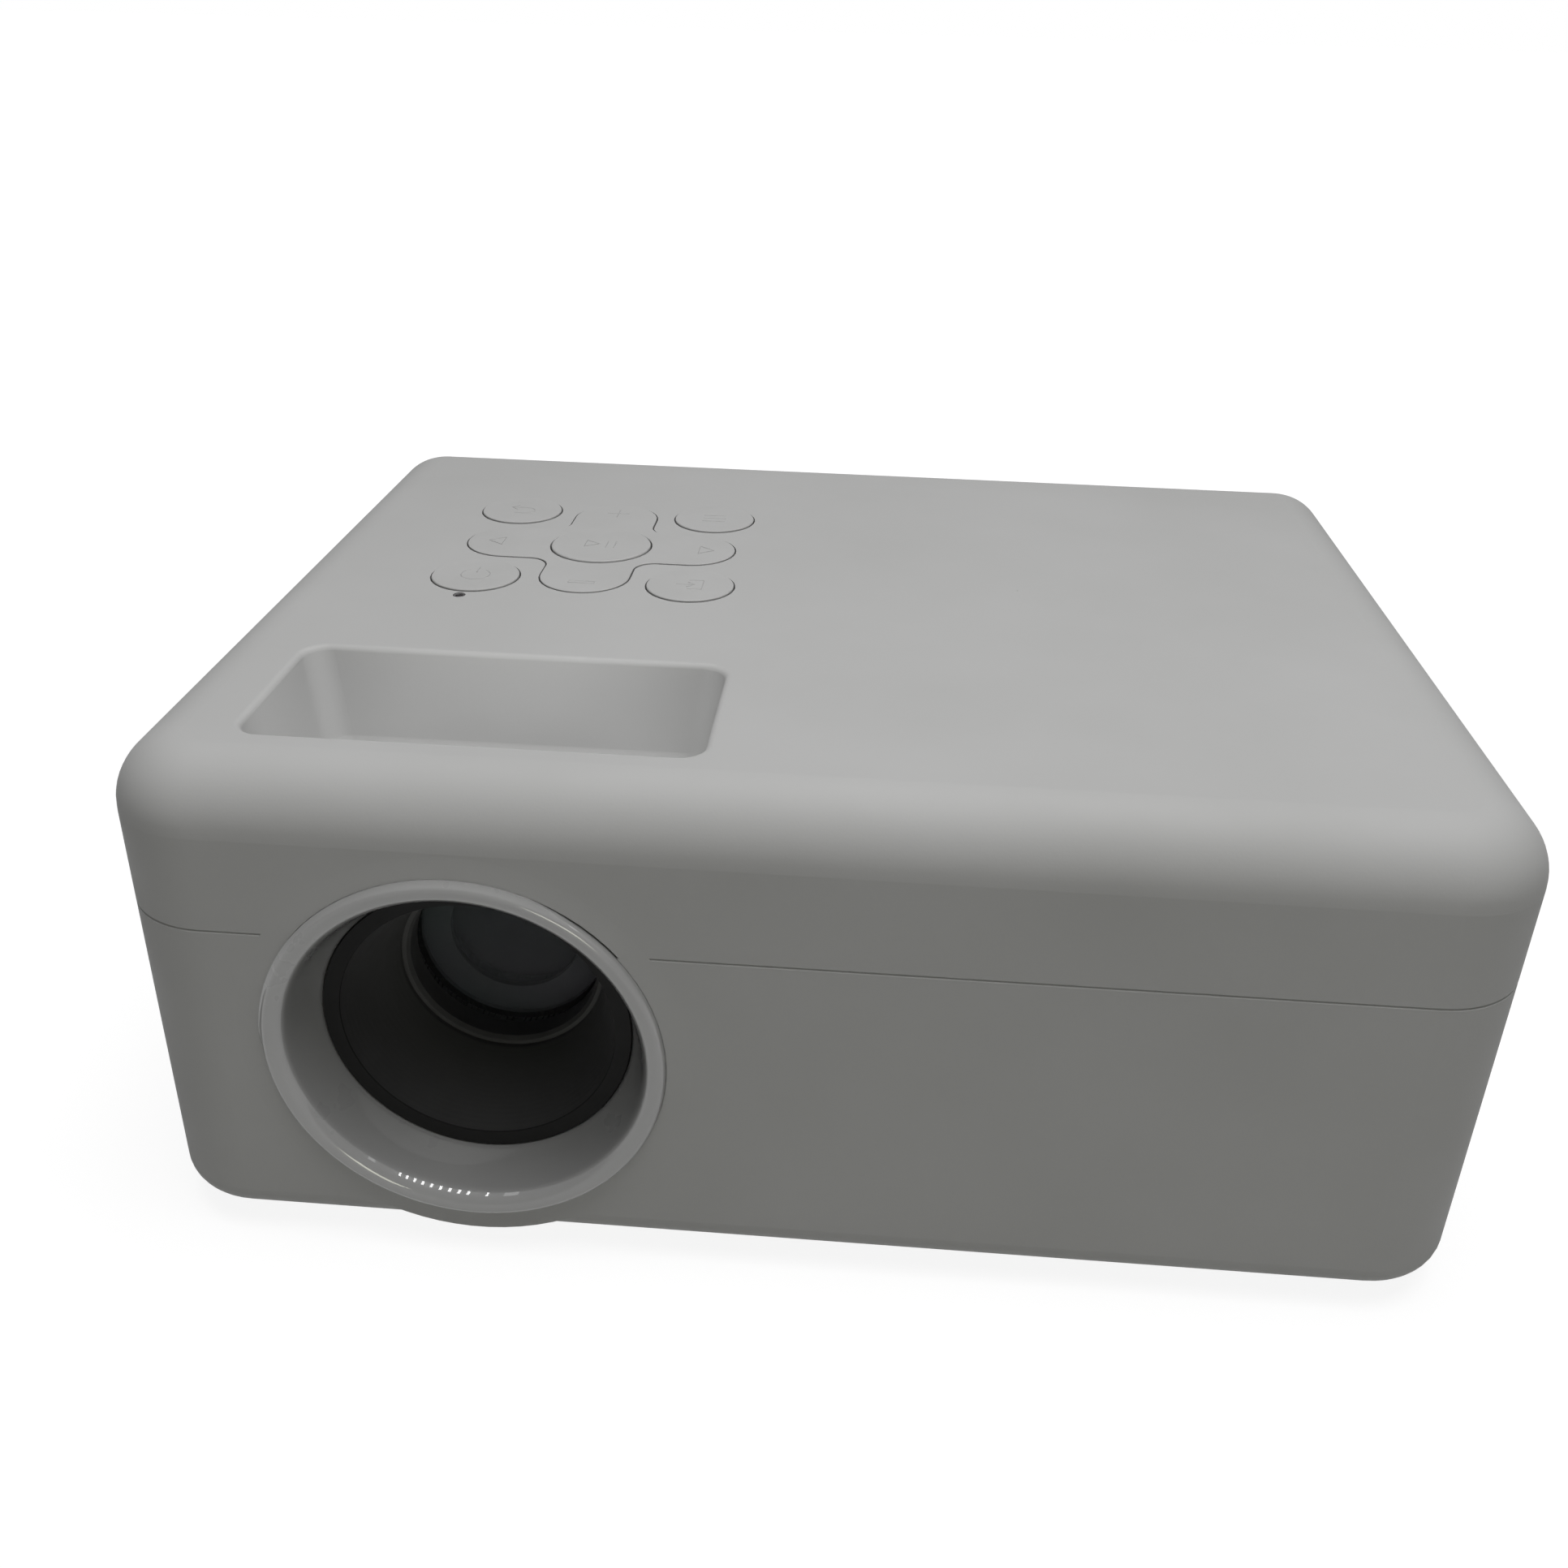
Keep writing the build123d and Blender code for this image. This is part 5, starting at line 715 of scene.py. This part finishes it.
screw_grooves = thread(low_r=1.19, high_r=1.3, start=22.0, rise=0.5, pitch=1.25, turns=30)
screw_profile = [(0.0, 22.0)] + screw_grooves + [(0.0, 59.7)]
ring_piece("screw_thread", screw_profile, [(screw_x, screw_y, rod_z)], (1, 0, 0), 16, bright_steel,
           "lead_screw", closed=False)

# Drive case. Zinc-plated steel pan, cover, rails, motor cans and socket shells with the mottled spangle
# of the plating; the cover has pressed ribs that keep it from drumming, and a thin sheet closes the
# tray from below.
plated_steel = finish("plated_steel", (0.52, 0.53, 0.54), 0.36, metallic=1.0)


def spangle(mat, size):
    """Cells with random shades, as in zinc plating."""
    tree = mat.node_tree
    cells = tree.nodes.new("ShaderNodeTexVoronoi")
    cells.inputs["Scale"].default_value = 1 / (size * mm)
    value = tree.nodes.new("ShaderNodeSeparateColor")
    tree.links.new(own_place(tree), cells.inputs["Vector"])
    tree.links.new(cells.outputs["Color"], value.inputs["Color"])
    return value.outputs["Green"]


shade(plated_steel, spangle(plated_steel, 2.5), (0.46, 0.47, 0.48), (0.58, 0.59, 0.6), 0.1, 0.9)
sheen_patches(plated_steel, cloud(plated_steel, 6, 3), 0.3, 0.45)
emboss(plated_steel, cloud(plated_steel, 1.2, 2), 0.008)
dress(plated_steel, "drive_case", "drive_cover", "spindle_motor", "sled_motor", "drive_rails",
      "hdmi_socket", "usb_socket")
long_ribs = [block(63.8, y, 84, 5, 2.4) for y in (-38, 1, 40)]
short_ribs = [block(x, 1, 5, 30, 2.4) for x in (12, 116)]
plates("cover_ribs", long_ribs + short_ribs, "Z", 44.5, 45.0, 0.35, plated_steel, "casing")
plates("tray_pan", [block(85.5, 3.0, 77.0, 46.0, 2.5)], "Z", 33.2, 33.55, 0.08, plated_steel,
       "disc_tray")

# Circuit boards. Green solder mask with paler tracks and gold vias, and a tan board for the power;
# black parts with bands and can tops of bare metal, and rows of small ones, are soldered on. The posts
# under the main board, the pins of the mains inlet and the tripod's threaded insert are brass.
board_green = finish("board_green", (0.015, 0.085, 0.035), 0.3, specular=0.5)


def tracks(mat, spacing, width):
    """Branching lines along the edges of square cells, as copper tracks run."""
    tree = mat.node_tree
    cells = tree.nodes.new("ShaderNodeTexVoronoi")
    cells.feature = "DISTANCE_TO_EDGE"
    cells.inputs["Scale"].default_value = 1 / (spacing * mm)
    cells.inputs["Randomness"].default_value = 0.75
    line = tree.nodes.new("ShaderNodeMath")
    line.operation = "LESS_THAN"
    line.inputs[1].default_value = width / spacing
    tree.links.new(own_place(tree), cells.inputs["Vector"])
    tree.links.new(cells.outputs["Distance"], line.inputs[0])
    return line.outputs[0]


shade(board_green, cloud(board_green, 10, 2), (0.012, 0.075, 0.03), (0.02, 0.1, 0.042))
spot(board_green, tracks(board_green, 3.4, 0.14), (0.03, 0.17, 0.06))
spot(board_green, specks(board_green, 3.1, 0.3, 0.5), (0.6, 0.46, 0.2))
emboss(board_green, tracks(board_green, 3.4, 0.14), 0.03)
dress(board_green, "main_board", "drive_board", "keypad_board")
board_tan = finish("board_tan", (0.33, 0.2, 0.08), 0.45, specular=0.4)
shade(board_tan, cloud(board_tan, 8, 3), (0.29, 0.17, 0.065), (0.38, 0.24, 0.1))
spot(board_tan, specks(board_tan, 5.0, 0.7, 0.45), (0.6, 0.6, 0.6))
emboss(board_tan, cloud(board_tan, 0.8, 2, (1, 0.2, 1)), 0.02)
dress(board_tan, "power_board")
part_black = finish("part_black", (0.02, 0.02, 0.022), 0.5, specular=0.4)
shade(part_black, cloud(part_black, 3, 2), (0.016, 0.016, 0.018), (0.028, 0.028, 0.03))
bare_band = 0.5
for bare_z in (61.3, 26.3, 23.3):
    spot(part_black, zone(part_black, "Z", bare_z, bare_z + bare_band), (0.62, 0.62, 0.63))
sheen_patches(part_black, cloud(part_black, 2, 3), 0.4, 0.6)
emboss(part_black, cloud(part_black, 0.4, 2), 0.015)
dress(part_black, "main_board_chips", "power_board_parts", "keypad_switches")
small_parts = finish("small_parts", (0.5, 0.5, 0.5), 0.4, specular=0.5)
shade(small_parts, spangle(small_parts, 3.0), (0.03, 0.03, 0.035), (0.5, 0.42, 0.3), 0.35, 0.65)
emboss(small_parts, cloud(small_parts, 0.3, 2), 0.02)
on_main = [(20 + 6.0 * column, 88 - 7.0 * row) for row in range(3) for column in range(9)]
on_drive = [(13 + 5.0 * column, -40 + 9.0 * row) for row in range(9) for column in range(6)]
plates("resistors", [block(u, v, 1.6, 0.9, 0.12, 2) for u, v in on_main], "Z", 51.55, 52.1, 0.12,
       small_parts, "casing")
plates("drive_parts", [block(u, v, 2.4, 3.4, 0.2, 2) for u, v in on_drive], "Z", 32.75, 33.4, 0.12,
       small_parts, "casing")
brass = finish("brass", (0.7, 0.55, 0.28), 0.3, metallic=1.0)
shade(brass, cloud(brass, 2, 3), (0.62, 0.47, 0.22), (0.76, 0.61, 0.33))
sheen_patches(brass, cloud(brass, 1, 3), 0.22, 0.4)
emboss(brass, cloud(brass, 0.5, 2), 0.01)
dress(brass, "board_standoffs", "inlet_pins", "tripod_insert")
insert_grooves = thread(low_r=3.15, high_r=2.85, start=0.5, rise=0.4, pitch=0.85, turns=11)
insert_profile = [(3.3, 0.4)] + insert_grooves + [(3.3, 9.85)]
ring_piece("insert_thread", insert_profile, [(0, 0, 5)], (0, 0, 1), 32, brass, "casing")

# Rear sockets and fan. A black panel in the rear wall, two sound jacks with nickel rims, the body of
# the mains inlet, and the fan with its frame, all of black plastic.
panel_black = finish("panel_black", (0.018, 0.018, 0.018), 0.5, specular=0.4)
shade(panel_black, cloud(panel_black, 14, 3), (0.015, 0.015, 0.015), (0.024, 0.024, 0.024))
sheen_patches(panel_black, cloud(panel_black, 5, 3), 0.44, 0.6)
emboss(panel_black, cloud(panel_black, 0.4, 1), 0.015)
dress(panel_black, "io_panel", "audio_jacks", "mains_inlet", "fan_frame", "fan_rotor")
rim_y, jack_z = 103.4, 54.8
ring_piece("jack_rims", [(1.85, -0.2), (1.85, 0.0), (2.0, 0.12), (2.6, 0.12), (2.75, 0.0), (2.75, -0.2)],
           [(x, rim_y, jack_z) for x in (34.0, 46.0)], (0, 1, 0), 40, bright_steel, "casing")

# Speakers and air grilles. Paper cones behind cloth on the right side, and a fine black dust filter
# behind the intake slots on the left.
cone_paper = finish("cone_paper", (0.03, 0.03, 0.03), 0.8, specular=0.2)
shade(cone_paper, cloud(cone_paper, 2, 3), (0.022, 0.022, 0.022), (0.045, 0.045, 0.045))
emboss(cone_paper, cloud(cone_paper, 0.6, 3), 0.05)
dress(cone_paper, "speakers")
cloth = finish("cloth", (0.02, 0.02, 0.02), 0.9, specular=0.15)


def weave(mat, first, second, pitch):
    """Threads along two axes, one every pitch millimetres, the higher of the two on top."""
    tree = mat.node_tree
    top = tree.nodes.new("ShaderNodeMath")
    top.operation = "MAXIMUM"
    tree.links.new(rings_along(mat, first, pitch), top.inputs[0])
    tree.links.new(rings_along(mat, second, pitch), top.inputs[1])
    return top.outputs[0]


shade(cloth, weave(cloth, "Y", "Z", 0.7), (0.006, 0.006, 0.006), (0.035, 0.035, 0.035))
emboss(cloth, weave(cloth, "Y", "Z", 0.7), 0.15)
speaker_panes = [block(y, 60.0, 33.6, 11.6, 1.9, 4) for y in (-52.0, 54.0)]
plates("speaker_cloth", speaker_panes, "X", 126.7, 127.2, 0.15, cloth, "casing")
filter_pane = block(1.0, 40.0, 112.0, 36.0, 3.0, 4)
plates("intake_filter", [filter_pane], "X", -126.4, -127.3, 0.3, cloth, "casing")

# Optical engine. Black glass-filled mouldings round the picture panel, a bright lamp board with its
# array of chips, and an extruded aluminium heat sink with saw marks on its fins.
engine_black = finish("engine_black", (0.012, 0.012, 0.012), 0.75, specular=0.2)
shade(engine_black, cloud(engine_black, 18, 3), (0.009, 0.009, 0.009), (0.017, 0.017, 0.017))
sheen_patches(engine_black, cloud(engine_black, 6, 3), 0.68, 0.85)
emboss(engine_black, cloud(engine_black, 0.5, 2), 0.02)
dress(engine_black, "light_box", "lcd_frame", "light_tunnel")
panel_film = finish("panel_film", (0.012, 0.012, 0.018), 0.15, specular=0.5, coat=0.4)
shade(panel_film, weave(panel_film, "X", "Z", 0.5), (0.006, 0.006, 0.010), (0.022, 0.018, 0.03))
sheen_patches(panel_film, cloud(panel_film, 12, 2), 0.12, 0.2)
dress(panel_film, "lcd_panel")
lamp_board = finish("lamp_board", (0.75, 0.75, 0.72), 0.35, specular=0.5)
shade(lamp_board, cloud(lamp_board, 5, 2), (0.7, 0.7, 0.67), (0.8, 0.8, 0.77))
spot(lamp_board, specks(lamp_board, 6, 0.8, 0.3), (0.6, 0.5, 0.3))
emboss(lamp_board, cloud(lamp_board, 0.6, 2), 0.01)
dress(lamp_board, "led_module")
phosphor = finish("phosphor", (0.75, 0.62, 0.12), 0.5, specular=0.5, coat=0.3)
shade(phosphor, cloud(phosphor, 1, 3), (0.68, 0.55, 0.09), (0.8, 0.68, 0.17))
emboss(phosphor, cloud(phosphor, 0.3, 2), 0.03)
chip_pitch = 2.4
chip_grid = [(i, j) for i in range(-3, 4) for j in range(-3, 4) if i * i + j * j < 14]
chips = [block(lens_x + chip_pitch * i, lens_z + chip_pitch * j, 1.9, 1.9, 0.3, 2) for i, j in chip_grid]
plates("led_chips", chips, "Y", 64.65, 64.4, 0.1, phosphor, "casing")
milled = finish("milled", (0.68, 0.69, 0.7), 0.35, metallic=1.0)
shade(milled, cloud(milled, 5, 3), (0.62, 0.63, 0.64), (0.74, 0.75, 0.76))
sheen_patches(milled, cloud(milled, 2, 3, (1, 1, 12)), 0.28, 0.45)
emboss(milled, cloud(milled, 0.4, 2, (1, 12, 1)), 0.01)
dress(milled, "heat_sink")

# Focus ring. Soft-touch black plastic with sixty ribs, rubbed smoother in patches by the finger that
# turns it through the well.
ring_rubber = finish("ring_rubber", (0.02, 0.02, 0.02), 0.6, specular=0.35)
shade(ring_rubber, cloud(ring_rubber, 5, 3), (0.014, 0.014, 0.014), (0.03, 0.03, 0.03))
sheen_patches(ring_rubber, cloud(ring_rubber, 3, 3), 0.5, 0.72)
emboss(ring_rubber, cloud(ring_rubber, 0.3, 1), 0.012)
dress(ring_rubber, "focus_ring")

# Soft parts. Moulded black rubber feet and levelling wheel with a dull bloom, and the seat of milky
# silicone under the direction pad.
foot_rubber = finish("foot_rubber", (0.025, 0.025, 0.025), 0.8, specular=0.25)
shade(foot_rubber, cloud(foot_rubber, 5, 3), (0.018, 0.018, 0.018), (0.036, 0.036, 0.035))
sheen_patches(foot_rubber, cloud(foot_rubber, 3, 3), 0.7, 0.9)
emboss(foot_rubber, cloud(foot_rubber, 0.5, 3), 0.03)
dress(foot_rubber, "rubber_feet", "leveling_wheel")
silicone = finish("silicone", (0.5, 0.5, 0.48), 0.5, specular=0.4)
shade(silicone, cloud(silicone, 6, 2), (0.46, 0.46, 0.44), (0.55, 0.55, 0.53))
emboss(silicone, cloud(silicone, 0.8, 2), 0.02)
dress(silicone, "dpad_seat")
